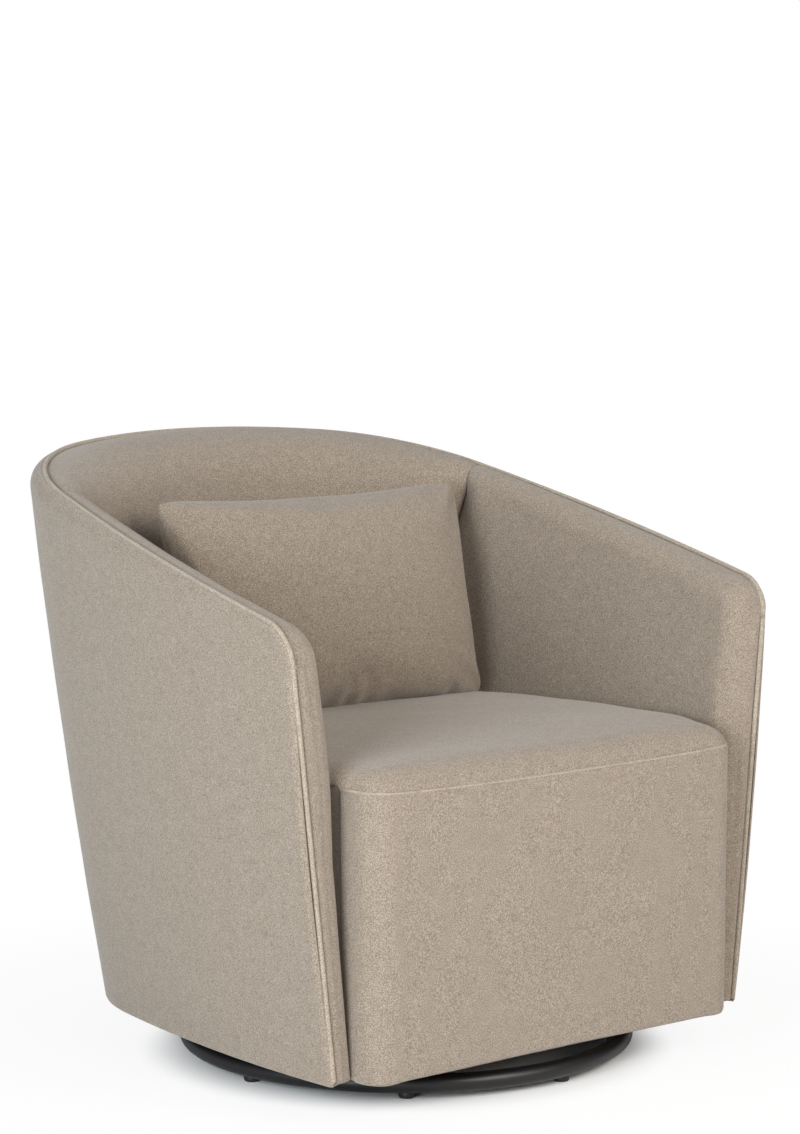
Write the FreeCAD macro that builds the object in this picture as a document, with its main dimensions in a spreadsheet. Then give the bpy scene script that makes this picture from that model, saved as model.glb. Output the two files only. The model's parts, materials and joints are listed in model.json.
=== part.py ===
import FreeCAD, Part
import Sketcher
import math
import os
from FreeCAD import Placement, Rotation, Vector

# Swivel tub armchair. Millimetres and degrees, +Z up, +Y towards the back, floor at Z 0.
# The tub is worked out about the swivel axis, then every piece is shifted by one value along Y,
# so that the origin lies on the floor under the middle of the whole chair.

document = FreeCAD.newDocument("swivel_armchair")
sheet = document.addObject("Spreadsheet::Sheet", "Sizes")

# Driving sizes, one table for each group of pieces
tub_sizes = {
    "hem_height": 50,             # underside of the tub above the floor
    "hem_half_width": 325,        # front edge of the side, at the hem
    "hem_front": 252,           # arm fronts ahead of the swivel axis, at the hem
    "hem_back": 394.4,
    "hem_corner_radius": 241,
    "outline_height": 740,        # height at which the upper outline is given
    "top_half_width": 400.6,
    "top_front": 244.2,
    "top_back": 467.7,
    "top_corner_radius": 241,
    "side_angle": -2.7,           # where the outline's outward direction points at the arm front
    "shoulder_angle": 10.8,       # where the side turns into the back corner
    "corner_angle": 71,         # where the back corner turns into the back
    "rim_front_height": 567.4,
    "rim_back_height": 741.4,
    "rim_arch": 0.5,              # rise of the rim above a straight slope
    "rim_corner_radius": 41,      # front corner of the arm, seen from the side
    "rim_set_in": 14.2,           # how far the rim lies inside the rounded top of the back
}
wall_sizes = {
    "cover_gauge": 2,             # outer cloth with its wadding
    "rim_fold_radius": 1.1,       # the fold at the arm front is rounder than the cover by this much
    "cover_bow": 5.5,             # how far the cover bows out between hem and rim
    "bow_reach": 150,             # half length of the bowed run
    "panel_gauge": 3,             # fibreboard behind the outer cloth
    "layer_gap": 0.4,
    "panel_gap": 0.9,             # between the fibreboard and the layers on both sides of it
    "rail_gauge": 18,             # plywood rails and posts, across the wall
    "frame_rise": 2,              # frame above the hem
    "bottom_rail_height": 45,
    "top_rail_height": 40,
    "rail_drop": 8,               # top rail under the rolled top edge
    "post_width": 40,
    "post_clearance": 0.8,        # the straight posts stay inside the curved rails by this much
    "webbing_gauge": 1.2,
    "webbing_width": 50,
    "welt_diameter": 6.5,
    "welt_lift": 0.5,
    "welt_clearance": 0.35,       # between the cover's rolled end and the welt
    "welt_step": 22,              # longest straight run of the welt along a curve
    "frame_step": 24,             # longest straight run of the rails and the fibreboard
    "station_gap": 12,            # least distance between two stations of a loft
    "arm_wall": 52,               # whole thickness of an arm
    "arm_wall_hem": 31,           # whole thickness of an arm front at the hem
    "arm_front_gauge": 20,        # padding over the front post
    "arm_edge_radius": 28,        # inner front edge of the arm
    "arm_edge_hem_radius": 12,
    "seam_angle": 12,             # where the inside arm meets the inside back
    "back_wall_low": 174,         # thickness at the middle of the back, at the seat deck
    "back_wall_top": 128,
    "pad_crest": 4,               # rolled top above the rim
    "arm_roll_radius": 26,
    "back_roll_radius": 75,
    "arm_swell": 2,               # how far a pad's inner face stands out between its ends
    "back_swell": 7,
    "swell_radius": 500,
}
seat_sizes = {
    "deck_height": 296,           # top of the rails that carry the seat
    "deck_rail_height": 42,
    "deck_rail_gauge": 20,
    "seat_rail_height": 58,
    "seat_rail_gauge": 18,
    "front_rail_forward": 228.5,    # front face of the front rails ahead of the swivel axis
    "seat_back_rail_back": 225,   # front face of the seat's back rail behind the swivel axis
    "upright_width": 45,
    "seam_height": 377.5,         # seam between the seat's top and its front panel
    "crown_rise": 38.5,           # top of the crown above the seam
    "crown_edge": 22,             # crowned top above the seam, at its edge
    "crown_back_drop": 17.5,      # how much lower the edge lies at the back
    "crown_half_width": 312,
    "crown_half_depth": 300,
    "crown_forward": 10,
    "seat_roll_reach": 34,        # rolled front edge, from front to back
    "panel_forward": 285,         # front panel ahead of the swivel axis
    "panel_bow": 4,
    "panel_half_width_low": 286,
    "panel_half_width_top": 288.5,
    "panel_corner_radius": 25,
    "panel_gauge_front": 8,
    "panel_return": 235,          # where the panel's sides end, ahead of the swivel axis
    "seat_clearance": 1.1,
    "dust_cover_gauge": 1.2,
    "dust_cover_inset": 8,
    "mechanism_opening": 140,     # half width of the dust cover's opening
}
strap_sizes = {
    "strap_gauge": 1.6,
    "strap_width": 50,
    "long_strap_spacing": 100,
    "cross_strap_spacing": 106,
}
pillow_sizes = {
    "pillow_width": 490,
    "pillow_height": 272,         # at the middle
    "pillow_corner_height": 292,  # from corner to corner
    "pillow_thickness": 150,
    "pillow_edge": 6,             # thickness at the sewn edge
    "pillow_side_bow": 9,         # how far the short sides are drawn in
    "pillow_lean": 12,            # degrees from upright
    "pillow_back": 182,           # centre behind the swivel axis
    "pillow_centre_rise": 163,    # above the seat's seam
    "pillow_shift": 12,           # towards the sitter's left arm
}
base_sizes = {
    "ring_radius": 270.4,
    "ring_tube_radius": 11,
    "ring_height": 19,
    "base_turn": 5,               # the base stands turned by this much under the seat
    "arm_bar_width": 30,
    "arm_bar_height": 15,
    "arm_bar_wall": 1.5,
    "hub_hole_radius": 12,
    "glide_radius": 10,
    "glide_circle_radius": 260,
    "glide_tab_height": 11.4,
    "glide_tab_gauge": 3,
    "glide_tab_width": 24,
    "glide_tab_inner": 238,
    "glide_chamfer": 1,
    "glide_gap": 0.1,
}
bearing_sizes = {
    "plate_side": 180,
    "plate_gauge": 3,
    "race_radius": 55,
    "race_width": 22,
    "race_gap": 1.5,              # between a race and the middle of the balls
    "ball_radius": 4,
    "running_gap": 0.05,
    "cage_gauge": 1.6,
    "cage_width": 16,
    "pivot_radius": 8,
    "pivot_flange_radius": 14,
    "pivot_flange_height": 3,
    "pivot_top": 64,
    "washer_radius": 17,
    "washer_gauge": 2,
    "pivot_nut_radius": 13,
    "pivot_nut_height": 8,
    "bolt_spacing": 72,           # half the distance between plate bolts
    "bolt_radius": 4,
    "bolt_hole_radius": 4.2,
    "bolt_head_radius": 6.5,
    "bolt_head_height": 5,
    "nut_height": 6,
    "board_side": 236,
    "board_gauge": 18,
    "board_hole_radius": 22,
    "tee_nut_radius": 9,
    "tee_nut_gauge": 3,
    "cross_rail_gauge": 25,
    "cross_rail_height": 45,
    "cross_rail_back": 95,
}
counts = {"glide_count": 8, "ball_count": 8, "long_strap_count": 5, "cross_strap_count": 4}

# Shares of the span that they follow, chosen by hand
roll_reach_share = 1.14
roll_limit_share = 0.7
side_station_shares = (0.06, 0.16, 0.32, 0.5, 0.68, 0.82, 1.0)
back_station_shares = (0.026, 0.058, 0.103, 0.167, 0.269, 0.423, 0.615, 0.808, 1.0)
seat_roll_shares = (0.0, 0.38, 0.71, 0.92, 1.0)
crown_grid_shares = (-1.0, -0.75, -0.5, -0.25, 0.0, 0.25, 0.5, 0.75, 1.0)
corner_turn_shares = (0.0, 0.2, 0.4, 0.6, 0.8, 1.0)
webbing_place_shares = (0.25, 0.62, 1.0)
pillow_station_shares = (0.0, 0.28, 0.58, 0.88, 1.0)
pillow_thickness_shares = (1.0, 0.95, 0.78, 0.4, 0.0)
pillow_height_shares = (0.0, 0.06, 0.25, 0.72, 1.0)

# Searches halve their span this often
halvings = 40

rows_used = []


def add_sizes(table):
    for alias, value in table.items():
        rows_used.append(alias)
        cell = f"B{len(rows_used)}"
        sheet.set(f"A{len(rows_used)}", alias)
        sheet.set(cell, str(value))
        sheet.setAlias(cell, alias)
    document.recompute()


tables = (tub_sizes, wall_sizes, seat_sizes, strap_sizes, pillow_sizes, base_sizes, bearing_sizes, counts)
for sizes_table in tables:
    add_sizes(sizes_table)


def size(alias):
    return float(sheet.get(alias))


def radial(angle):
    return Vector(math.cos(math.radians(angle)), math.sin(math.radians(angle)), 0)


# Outline of the tub in plan: side, back corner and back are three tangent arcs, mirrored about X 0.
# The side and back radii follow from the outline's front, back and width.
def outline_radii(half_width, front, back, corner_radius):
    start, shoulder, corner = (radial(size(n)) for n in ("side_angle", "shoulder_angle", "corner_angle"))
    side_way = shoulder - start
    back_way = radial(90) - corner
    rest = Vector(-half_width, back + front, 0) - (corner - shoulder) * corner_radius
    scale = side_way.x * back_way.y - side_way.y * back_way.x
    side_radius = (rest.x * back_way.y - rest.y * back_way.x) / scale
    back_radius = (side_way.x * rest.y - side_way.y * rest.x) / scale
    return side_radius, back_radius


# Point of an outline where its outward direction has the given angle
def outline_point(level, angle):
    half_width, front, back, corner_radius = (
        size(f"{level}_{n}") for n in ("half_width", "front", "back", "corner_radius")
    )
    side_radius, back_radius = outline_radii(half_width, front, back, corner_radius)
    turn = min(angle, 180 - angle)
    limits = (size("side_angle"), size("shoulder_angle"), size("corner_angle"), 90)
    point = Vector(half_width, -front, 0)
    for start, end, radius in zip(limits, limits[1:], (side_radius, corner_radius, back_radius)):
        if turn > start:
            point = point + (radial(min(turn, end)) - radial(start)) * radius
    if angle > 90:
        point.x = -point.x
    return point


# Point of the tub at an angle and height, set in from its outer face
def tub_point(angle, height, inset):
    low = outline_point("hem", angle)
    high = outline_point("top", angle)
    share = (height - size("hem_height")) / (size("outline_height") - size("hem_height"))
    point = low + (high - low) * share - radial(angle) * inset
    point.z = height
    return point


# Radius of the upper outline at an angle
def top_radius(angle):
    side_radius, back_radius = outline_radii(size("top_half_width"), size("top_front"), size("top_back"),
                                             size("top_corner_radius"))
    turn = min(angle, 180 - angle)
    if turn < size("shoulder_angle"):
        return side_radius
    if turn > size("corner_angle"):
        return back_radius
    return size("top_corner_radius")


# Angle of the station that lies a distance behind the arm front, measured along the side
def angle_behind_front(distance):
    return size("side_angle") + math.degrees(distance / top_radius(size("side_angle")))


def distance_behind_front(angle):
    turn = min(angle, 180 - angle)
    return math.radians(turn - size("side_angle")) * top_radius(size("side_angle"))


# Share of the way from the arm front to the back, along the upper outline
def back_share(angle):
    depth = size("top_front") + size("top_back")
    return (outline_point("top", angle).y + size("top_front")) / depth


# Drop of a quarter round of this radius at a distance from its front end
def quarter_drop(distance, radius):
    left = max(radius - distance, 0)
    return radius - math.sqrt(radius ** 2 - left ** 2)


def rim_height(angle):
    share = back_share(angle)
    slope = size("rim_back_height") - size("rim_front_height")
    height = size("rim_front_height") + slope * share + 4 * size("rim_arch") * share * (1 - share)
    return height - quarter_drop(distance_behind_front(angle), size("rim_corner_radius"))


def cover_roll(angle):
    return size("cover_gauge") + size("rim_fold_radius") + size("rim_set_in") * back_share(angle)


# Inset at which the cover ends on top, a little past its round because the wall leans outwards
def cover_end(angle):
    return cover_roll(angle) * roll_reach_share + size("layer_gap") / 2


def top_rail_top(angle):
    return rim_height(angle) - cover_roll(angle) - size("rail_drop")


# Insets of the layers of the wall
panel_inset = size("cover_gauge") + size("panel_gap")
rail_inset = panel_inset + size("panel_gauge") + size("panel_gap")
webbing_inset = rail_inset + size("rail_gauge") + size("layer_gap")
pad_inset = webbing_inset + size("webbing_gauge") + size("layer_gap")
frame_height = size("hem_height") + size("frame_rise")
pad_underside = size("deck_height") + 2 * size("strap_gauge") + size("layer_gap")


def welt_inset(angle):
    return cover_end(angle) + size("welt_clearance") + size("welt_diameter") / 2


def pad_start(angle):
    return welt_inset(angle) + size("welt_diameter") / 2 + size("layer_gap")


# Thickness of the wall where the inside back's face is a shallow bow from seam to seam
def back_wall(angle, height, middle):
    seam = tub_point(size("seam_angle"), height, size("arm_wall"))
    centre = tub_point(90, height, middle)
    turn = min(angle, 180 - angle)
    if turn <= size("seam_angle"):
        return size("arm_wall")
    point = tub_point(turn, height, 0)
    out = radial(turn)
    bow = (centre.y - seam.y) / seam.x ** 2
    first = bow * out.x ** 2
    second = 2 * bow * point.x * out.x + out.y
    third = point.y - centre.y + bow * point.x ** 2
    return 2 * third / (second + math.sqrt(second ** 2 - 4 * first * third))


# Share of the back pad's own fullness at an angle, nothing at the seams
def fullness(angle):
    turn = min(angle, 180 - angle)
    share = max(turn - size("seam_angle"), 0) / (90 - size("seam_angle"))
    return 1 - (1 - share) ** 3


# A closed wire through the corners in order, each corner rounded by its own radius
def rounded_wire(corners):
    edges = []
    starts = []
    ends = []
    for i, (point, radius) in enumerate(corners):
        if radius == 0:
            starts.append(point)
            ends.append(point)
            continue
        before = (corners[i - 1][0] - point).normalize()
        after = (corners[(i + 1) % len(corners)][0] - point).normalize()
        half = before.getAngle(after) / 2
        starts.append(point + before * (radius / math.tan(half)))
        ends.append(point + after * (radius / math.tan(half)))
    for i, (point, radius) in enumerate(corners):
        if radius != 0:
            middle = (starts[i] + ends[i]) * 0.5
            half_chord = (ends[i] - starts[i]).Length / 2
            centre_gap = math.sqrt(radius ** 2 - half_chord ** 2)
            way = (point - middle).normalize()
            edges.append(Part.Arc(starts[i], middle + way * (radius - centre_gap), ends[i]).toShape())
        following = starts[(i + 1) % len(corners)]
        edges.append(Part.makeLine(ends[i], following))
    return Part.Wire(edges)


# Section across the wall at a station: corners are inset, height and radius
def wall_section(angle, corners):
    return rounded_wire([(tub_point(angle, height, inset), radius) for inset, height, radius in corners])


def wall_loft(angles, corners_at, straight=False):
    sections = [wall_section(angle, corners_at(angle)) for angle in angles]
    return Part.makeLoft(sections, True, straight)


def mirrored(shape):
    return shape.mirror(Vector(0, 0, 0), Vector(1, 0, 0))


# Stations along the wall, from the right arm front to the left one
corner_angles = [
    angle_behind_front(size("rim_corner_radius") * (1 - math.cos(share * math.pi / 2)))
    for share in corner_turn_shares
]
side_angles = [
    corner_angles[-1] + (size("seam_angle") - corner_angles[-1]) * share for share in side_station_shares
]
back_angles = [size("seam_angle") + (90 - size("seam_angle")) * share for share in back_station_shares]
right_angles = corner_angles + side_angles
whole_angles = right_angles + back_angles
whole_angles = whole_angles + [180 - angle for angle in reversed(whole_angles[:-1])]


# Stations split further, so that no straight run between them is longer than the given one
def divided(angles, longest):
    finer = angles[:1]
    for a, b in zip(angles, angles[1:]):
        steps = math.ceil(math.radians(b - a) * top_radius((a + b) / 2) / longest)
        finer += [a + (b - a) * (i + 1) / steps for i in range(steps)]
    return finer


def stations_from(distance):
    start = angle_behind_front(distance)
    next_one = angle_behind_front(distance + size("station_gap"))
    middle = [angle for angle in whole_angles if next_one < angle < 180 - next_one]
    return divided([start] + middle + [180 - start], size("frame_step"))


parts = []


def finish_part(thing, label, turn=None):
    thing.Label = label
    if turn is None:
        thing.Placement = Placement(Vector(0, 0, 0), Rotation())
    else:
        thing.Placement = Placement(Vector(0, 0, 0), Rotation(Vector(0, 0, 1), size(turn)))
        thing.setExpression("Placement.Rotation.Angle", f"Sizes.{turn}")
    thing.setExpression("Placement.Base.y", "Sizes.axis_shift")
    parts.append(thing)
    return thing


def shaped(label, shape, turn=None):
    feature = document.addObject("Part::Feature", label)
    feature.Shape = shape
    return finish_part(feature, label, turn)


# Along Y the chair reaches from the bowed front panel to the rounded top of the back
back_reach = tub_point(90, size("rim_back_height") - cover_roll(90), 0).y
front_reach = size("panel_forward") + size("panel_bow")
add_sizes({"axis_shift": (front_reach - back_reach) / 2, "zero": 0})


# Part primitives whose sizes and places are expressions on the sheet
def primitive(kind, name, sizes, x="0", y="0", z="0"):
    thing = document.addObject(kind, name)
    for prop, text in sizes.items():
        thing.setExpression(prop, text)
    for axis, text in zip("xyz", (x, y, z)):
        if text != "0":
            thing.setExpression(f"Placement.Base.{axis}", text)
    return thing


def box(name, length, width, height, x="0", y="0", z="0"):
    return primitive("Part::Box", name, {"Length": length, "Width": width, "Height": height}, x, y, z)


def cylinder(name, radius, height, x="0", y="0", z="0"):
    return primitive("Part::Cylinder", name, {"Radius": radius, "Height": height}, x, y, z)


def torus(name, major, minor, z="0"):
    return primitive("Part::Torus", name, {"Radius1": major, "Radius2": minor}, z=z)


def cut(name, base, tool):
    thing = document.addObject("Part::Cut", name)
    thing.Base = base
    thing.Tool = tool
    return thing


def fuse(name, things):
    thing = document.addObject("Part::MultiFuse", name)
    thing.Shapes = things
    return thing


# Copies of one shape set round the Z axis
def ring_of(shape, count, start=0):
    copies = []
    for i in range(count):
        copy = shape.copy()
        copy.rotate(Vector(0, 0, 0), Vector(0, 0, 1), start + 360 * i / count)
        copies.append(copy)
    return copies


# Base: a ring of round tube, a cross of square tube let into it, tabs and glides
def make_base():
    ring = torus("ring_tube", "Sizes.ring_radius", "Sizes.ring_tube_radius", "Sizes.ring_height")
    finish_part(ring, "base_ring", "base_turn")

    bar_top = "Sizes.ring_height + Sizes.arm_bar_height / 2"
    bars = []
    hollows = []
    for i in range(2):
        length = "2 * Sizes.ring_radius"
        bar = box(f"bar_{i}", length, "Sizes.arm_bar_width", "Sizes.arm_bar_height")
        hollow = box(f"bar_hollow_{i}", length, "Sizes.arm_bar_width - 2 * Sizes.arm_bar_wall",
                     "Sizes.arm_bar_height - 2 * Sizes.arm_bar_wall")
        way = 45 + 90 * i
        for thing, wall in ((bar, 0), (hollow, size("arm_bar_wall"))):
            turn = Rotation(Vector(0, 0, 1), way)
            corner = turn.multVec(Vector(-size("ring_radius"), wall - size("arm_bar_width") / 2, 0))
            corner.z = size("ring_height") - size("arm_bar_height") / 2 + wall
            thing.Placement = Placement(corner, turn)
        bars.append(bar)
        hollows.append(hollow)
    outer = fuse("bars_outside", bars)
    inner = fuse("bars_inside", hollows)
    trim = torus("bar_trim", "Sizes.ring_radius", "Sizes.ring_tube_radius", "Sizes.ring_height")
    beyond = cylinder("bar_beyond", "2 * Sizes.ring_radius", "2 * Sizes.ring_height")
    within = cylinder("bar_within", "Sizes.ring_radius", "2 * Sizes.ring_height")
    outside = cut("bar_outside_ring", beyond, within)
    holes = [cylinder("hub_hole", "Sizes.hub_hole_radius", bar_top)]
    for i in range(4):
        x = "Sizes.bolt_spacing" if i % 2 else "-Sizes.bolt_spacing"
        y = "Sizes.bolt_spacing" if i > 1 else "-Sizes.bolt_spacing"
        holes.append(cylinder(f"bar_bolt_hole_{i}", "Sizes.bolt_hole_radius", bar_top, x, y))
    away = fuse("bar_cuts", [inner, trim, outside] + holes)
    cross = cut("cross_bars", outer, away)
    finish_part(cross, "base_cross", "base_turn")

    clear = torus("glide_clearance", "Sizes.ring_radius", "Sizes.ring_tube_radius + Sizes.glide_gap",
                  "Sizes.ring_height")
    document.recompute()
    tab_corner = Vector(size("glide_tab_inner"), -size("glide_tab_width") / 2, size("glide_tab_height"))
    tab_length = size("ring_radius") - size("glide_tab_inner")
    tab = Part.makeBox(tab_length, size("glide_tab_width"), size("glide_tab_gauge"), tab_corner)
    tab = tab.cut(ring.Shape.copy().translate(Vector(0, -size("axis_shift"), 0)))
    tab = max(tab.Solids, key=lambda solid: -abs(solid.CenterOfMass.x - size("glide_tab_inner")))
    blank = Part.makeCylinder(size("glide_radius"), size("glide_tab_height"),
                              Vector(size("glide_circle_radius"), 0, 0))
    circles = [edge for edge in blank.Edges if edge.Curve.TypeId == "Part::GeomCircle"]
    rims = [edge for edge in circles if edge.CenterOfMass.z == 0]
    glide = blank.makeChamfer(size("glide_chamfer"), rims).cut(clear.Shape)
    glide = max(glide.Solids, key=lambda solid: solid.Volume)
    count = int(size("glide_count"))
    cross_clear = cross.Shape.copy()
    cross_clear.Placement = Placement()
    tabs = [shape.cut(cross_clear) for shape in ring_of(tab, count)]
    shaped("glide_tabs", Part.makeCompound(tabs), "base_turn")
    shaped("foot_glides", Part.makeCompound(ring_of(glide, count)), "base_turn")


# PartDesign helpers: bodies with sketches on their own origin planes
def origin_plane(body, role):
    return next(feature for feature in body.Origin.OriginFeatures if feature.Role == role)


def new_sketch(body, name, height=None):
    sketch = body.newObject("Sketcher::SketchObject", name)
    sketch.AttachmentSupport = [(origin_plane(body, "XY_Plane"), "")]
    sketch.MapMode = "FlatFace"
    if height is not None:
        sketch.setExpression("AttachmentOffset.Base.z", height)
    return sketch


def draw_square(sketch, side):
    half = size(side) / 2
    corners = [Vector(x * half, y * half, 0) for x, y in ((-1, -1), (1, -1), (1, 1), (-1, 1))]
    for i in range(4):
        sketch.addGeometry(Part.LineSegment(corners[i], corners[(i + 1) % 4]))
    for i in range(4):
        sketch.addConstraint(Sketcher.Constraint("Coincident", i, 2, (i + 1) % 4, 1))
    for i in (0, 2):
        sketch.addConstraint(Sketcher.Constraint("Horizontal", i))
        sketch.addConstraint(Sketcher.Constraint("Vertical", i + 1))
    sketch.addConstraint(Sketcher.Constraint("Symmetric", 0, 1, 1, 2, -1, 1))
    for i, name in ((0, "across"), (1, "along")):
        index = sketch.addConstraint(Sketcher.Constraint("Distance", i, size(side)))
        sketch.renameConstraint(index, name)
        sketch.setExpression(f"Constraints.{name}", f"Sizes.{side}")


def draw_circle(sketch, radius, name, x=None, y=None):
    centre = Vector(size(x) if x else 0, size(y) if y else 0, 0)
    circle = sketch.addGeometry(Part.Circle(centre, Vector(0, 0, 1), size_of(radius)))
    index = sketch.addConstraint(Sketcher.Constraint("Radius", circle, size_of(radius)))
    sketch.renameConstraint(index, name)
    sketch.setExpression(f"Constraints.{name}", radius)
    if x is None and y is None:
        sketch.addConstraint(Sketcher.Constraint("Coincident", circle, 3, -1, 1))
        return
    for kind, alias, label in (("DistanceX", x, "right"), ("DistanceY", y, "back")):
        index = sketch.addConstraint(Sketcher.Constraint(kind, -1, 1, circle, 3, size(alias)))
        sketch.renameConstraint(index, f"{name}_{label}")
        sketch.setExpression(f"Constraints.{name}_{label}", f"Sizes.{alias}")


# Value of a short expression on the sheet, used as a sketch's first guess
def size_of(text):
    total = 0
    sign = 1
    for word in text.replace("Sizes.", "").split():
        if word in "+-":
            sign = 1 if word == "+" else -1
        else:
            total += sign * (size(word))
    return total


def pad(body, name, sketch, length, reverse=False):
    feature = body.newObject("PartDesign::Pad", name)
    feature.Profile = sketch
    feature.setExpression("Length", length)
    feature.Reversed = reverse
    return feature


def pocket(body, name, sketch, through=True):
    feature = body.newObject("PartDesign::Pocket", name)
    feature.Profile = sketch
    feature.Type = "ThroughAll"
    feature.Midplane = through
    return feature


def around_z(body, name, feature, count):
    pattern = body.newObject("PartDesign::PolarPattern", name)
    pattern.Originals = [feature]
    pattern.Axis = (next(f for f in body.Origin.OriginFeatures if f.Role == "Z_Axis"), [""])
    pattern.Angle = 360
    pattern.Occurrences = count
    body.Tip = pattern
    return pattern


# One plate of the ball bearing: a square flange with a raised race, a ball track, a bore and four holes
def make_plate(label, base_height, upper, turn):
    body = document.addObject("PartDesign::Body", f"{label}_blank")
    side = new_sketch(body, f"{label}_flange_outline", base_height)
    draw_square(side, "plate_side")
    pad(body, f"{label}_flange", side, "Sizes.plate_gauge")
    race = new_sketch(body, f"{label}_race_outline", base_height + ("" if upper else " + Sizes.plate_gauge"))
    draw_circle(race, "Sizes.race_radius + Sizes.half_race_width", "outer_edge")
    draw_circle(race, "Sizes.race_radius - Sizes.half_race_width", "inner_edge")
    pad(body, f"{label}_race", race, "Sizes.race_height", upper)
    track = new_sketch(body, f"{label}_bore_outline", base_height)
    draw_circle(track, "Sizes.pivot_radius + Sizes.running_gap", "bore")
    pocket(body, f"{label}_bore", track)
    hole = new_sketch(body, f"{label}_bolt_outline", base_height)
    draw_circle(hole, "Sizes.bolt_hole_radius", "hole", "bolt_spacing", "bolt_spacing")
    first = pocket(body, f"{label}_bolt_hole", hole)
    document.recompute()
    around_z(body, f"{label}_bolt_holes", first, 4)
    groove = torus(f"{label}_track", "Sizes.race_radius", "Sizes.ball_radius + Sizes.running_gap",
                   "Sizes.ball_height")
    plate = cut(f"{label}_tracked", body, groove)
    return finish_part(plate, label, turn)


# Swivel bearing: two plates, a cage of balls between them, and the pivot that holds them together
def make_bearing():
    plate_low = size("ring_height") + size("arm_bar_height") / 2
    plate_high = frame_height - size("plate_gauge")
    ball_height = (plate_low + frame_height) / 2
    race_height = ball_height - size("race_gap") - plate_low - size("plate_gauge")
    add_sizes({
        "frame_height": frame_height, "plate_low": plate_low, "plate_high": plate_high,
        "ball_height": ball_height, "race_height": race_height,
        "half_race_width": size("race_width") / 2, "half_cage_width": size("cage_width") / 2,
    })
    make_plate("swivel_lower_plate", "Sizes.plate_low", False, "base_turn")
    make_plate("swivel_upper_plate", "Sizes.plate_high", True, None)

    body = document.addObject("PartDesign::Body", "cage")
    outline = new_sketch(body, "cage_outline", "Sizes.ball_height - Sizes.cage_gauge / 2")
    draw_circle(outline, "Sizes.race_radius + Sizes.half_cage_width", "outer_edge")
    draw_circle(outline, "Sizes.race_radius - Sizes.half_cage_width", "inner_edge")
    pad(body, "cage_ring", outline, "Sizes.cage_gauge")
    seat = new_sketch(body, "ball_seat_outline", "Sizes.ball_height")
    draw_circle(seat, "Sizes.ball_radius + Sizes.running_gap", "ball_seat", "race_radius", "zero")
    first = pocket(body, "ball_seat", seat)
    document.recompute()
    around_z(body, "ball_seats", first, int(size("ball_count")))
    finish_part(body, "ball_cage")

    ball = Part.makeSphere(size("ball_radius"), Vector(size("race_radius"), 0, ball_height))
    shaped("bearing_balls", Part.makeCompound(ring_of(ball, int(size("ball_count")))))

    shaft = cylinder("pivot_shaft", "Sizes.pivot_radius", "Sizes.pivot_top - Sizes.plate_low",
                     z="Sizes.plate_low")
    flange = cylinder("pivot_flange", "Sizes.pivot_flange_radius", "Sizes.pivot_flange_height",
                      z="Sizes.plate_low + Sizes.plate_gauge")
    finish_part(fuse("pivot", [shaft, flange]), "swivel_pivot", "base_turn")

    washer_low = "Sizes.frame_height + Sizes.layer_gap / 2"
    bore_radius = "Sizes.pivot_radius + Sizes.running_gap"
    disc = cylinder("washer_disc", "Sizes.washer_radius", "Sizes.washer_gauge", z=washer_low)
    bore = cylinder("washer_bore", bore_radius, "Sizes.washer_gauge", z=washer_low)
    finish_part(cut("washer", disc, bore), "pivot_washer", "base_turn")

    nut_low = f"{washer_low} + Sizes.washer_gauge"
    nut = primitive("Part::Prism", "nut_hexagon", {"Circumradius": "Sizes.pivot_nut_radius",
                                                   "Height": "Sizes.pivot_nut_height"}, z=nut_low)
    nut.Polygon = 6
    nut_bore = cylinder("nut_bore", bore_radius, "Sizes.pivot_nut_height", z=nut_low)
    finish_part(cut("nut", nut, nut_bore), "pivot_nut", "base_turn")


# A hexagon headed bolt at each hole of a plate, with its head at one end
def make_bolts():
    head, shank = size("bolt_head_height"), size("bolt_radius")
    board_top = frame_height + size("board_gauge")
    bar_low = size("ring_height") - size("arm_bar_height") / 2
    nut_low = bar_low - size("nut_height")
    plate_top = size("plate_low") + size("plate_gauge")

    def hexagon(low, height, radius):
        corners = [radial(60 * i) * radius + Vector(0, 0, low) for i in range(7)]
        return Part.Face(Part.makePolygon(corners)).extrude(Vector(0, 0, height))

    def spread(shape, start):
        moved = shape.translate(Vector(size("bolt_spacing"), size("bolt_spacing"), 0))
        return Part.makeCompound(ring_of(moved, 4, start))

    lower = hexagon(plate_top, head, size("bolt_head_radius"))
    lower = lower.fuse(Part.makeCylinder(shank, plate_top - nut_low, Vector(0, 0, nut_low))).removeSplitter()
    shaped("lower_plate_bolts", spread(lower, 0), "base_turn")
    nut = hexagon(nut_low, size("nut_height"), size("bolt_head_radius"))
    nut = nut.cut(Part.makeCylinder(shank + size("running_gap"), size("nut_height"), Vector(0, 0, nut_low)))
    shaped("lower_plate_nuts", spread(nut, 0), "base_turn")
    upper = hexagon(size("plate_high") - head, head, size("bolt_head_radius"))
    reach = board_top + size("tee_nut_gauge") - size("plate_high")
    upper = upper.fuse(Part.makeCylinder(shank, reach, Vector(0, 0, size("plate_high")))).removeSplitter()
    shaped("upper_plate_bolts", spread(upper, 0))
    tee_gauge = size("tee_nut_gauge")
    tee = Part.makeCylinder(size("tee_nut_radius"), tee_gauge, Vector(0, 0, board_top))
    tee = tee.cut(Part.makeCylinder(shank + size("running_gap"), tee_gauge, Vector(0, 0, board_top)))
    shaped("tee_nuts", spread(tee, 0))


# Half width between the two sides of the tub at a depth and height, inside a given inset
def clear_half_width(depth, height, inset):
    low, high = size("side_angle"), 90
    for _ in range(halvings):
        middle = (low + high) / 2
        if tub_point(middle, height, inset).y < depth:
            low = middle
        else:
            high = middle
    return tub_point(low, height, inset).x


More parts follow.
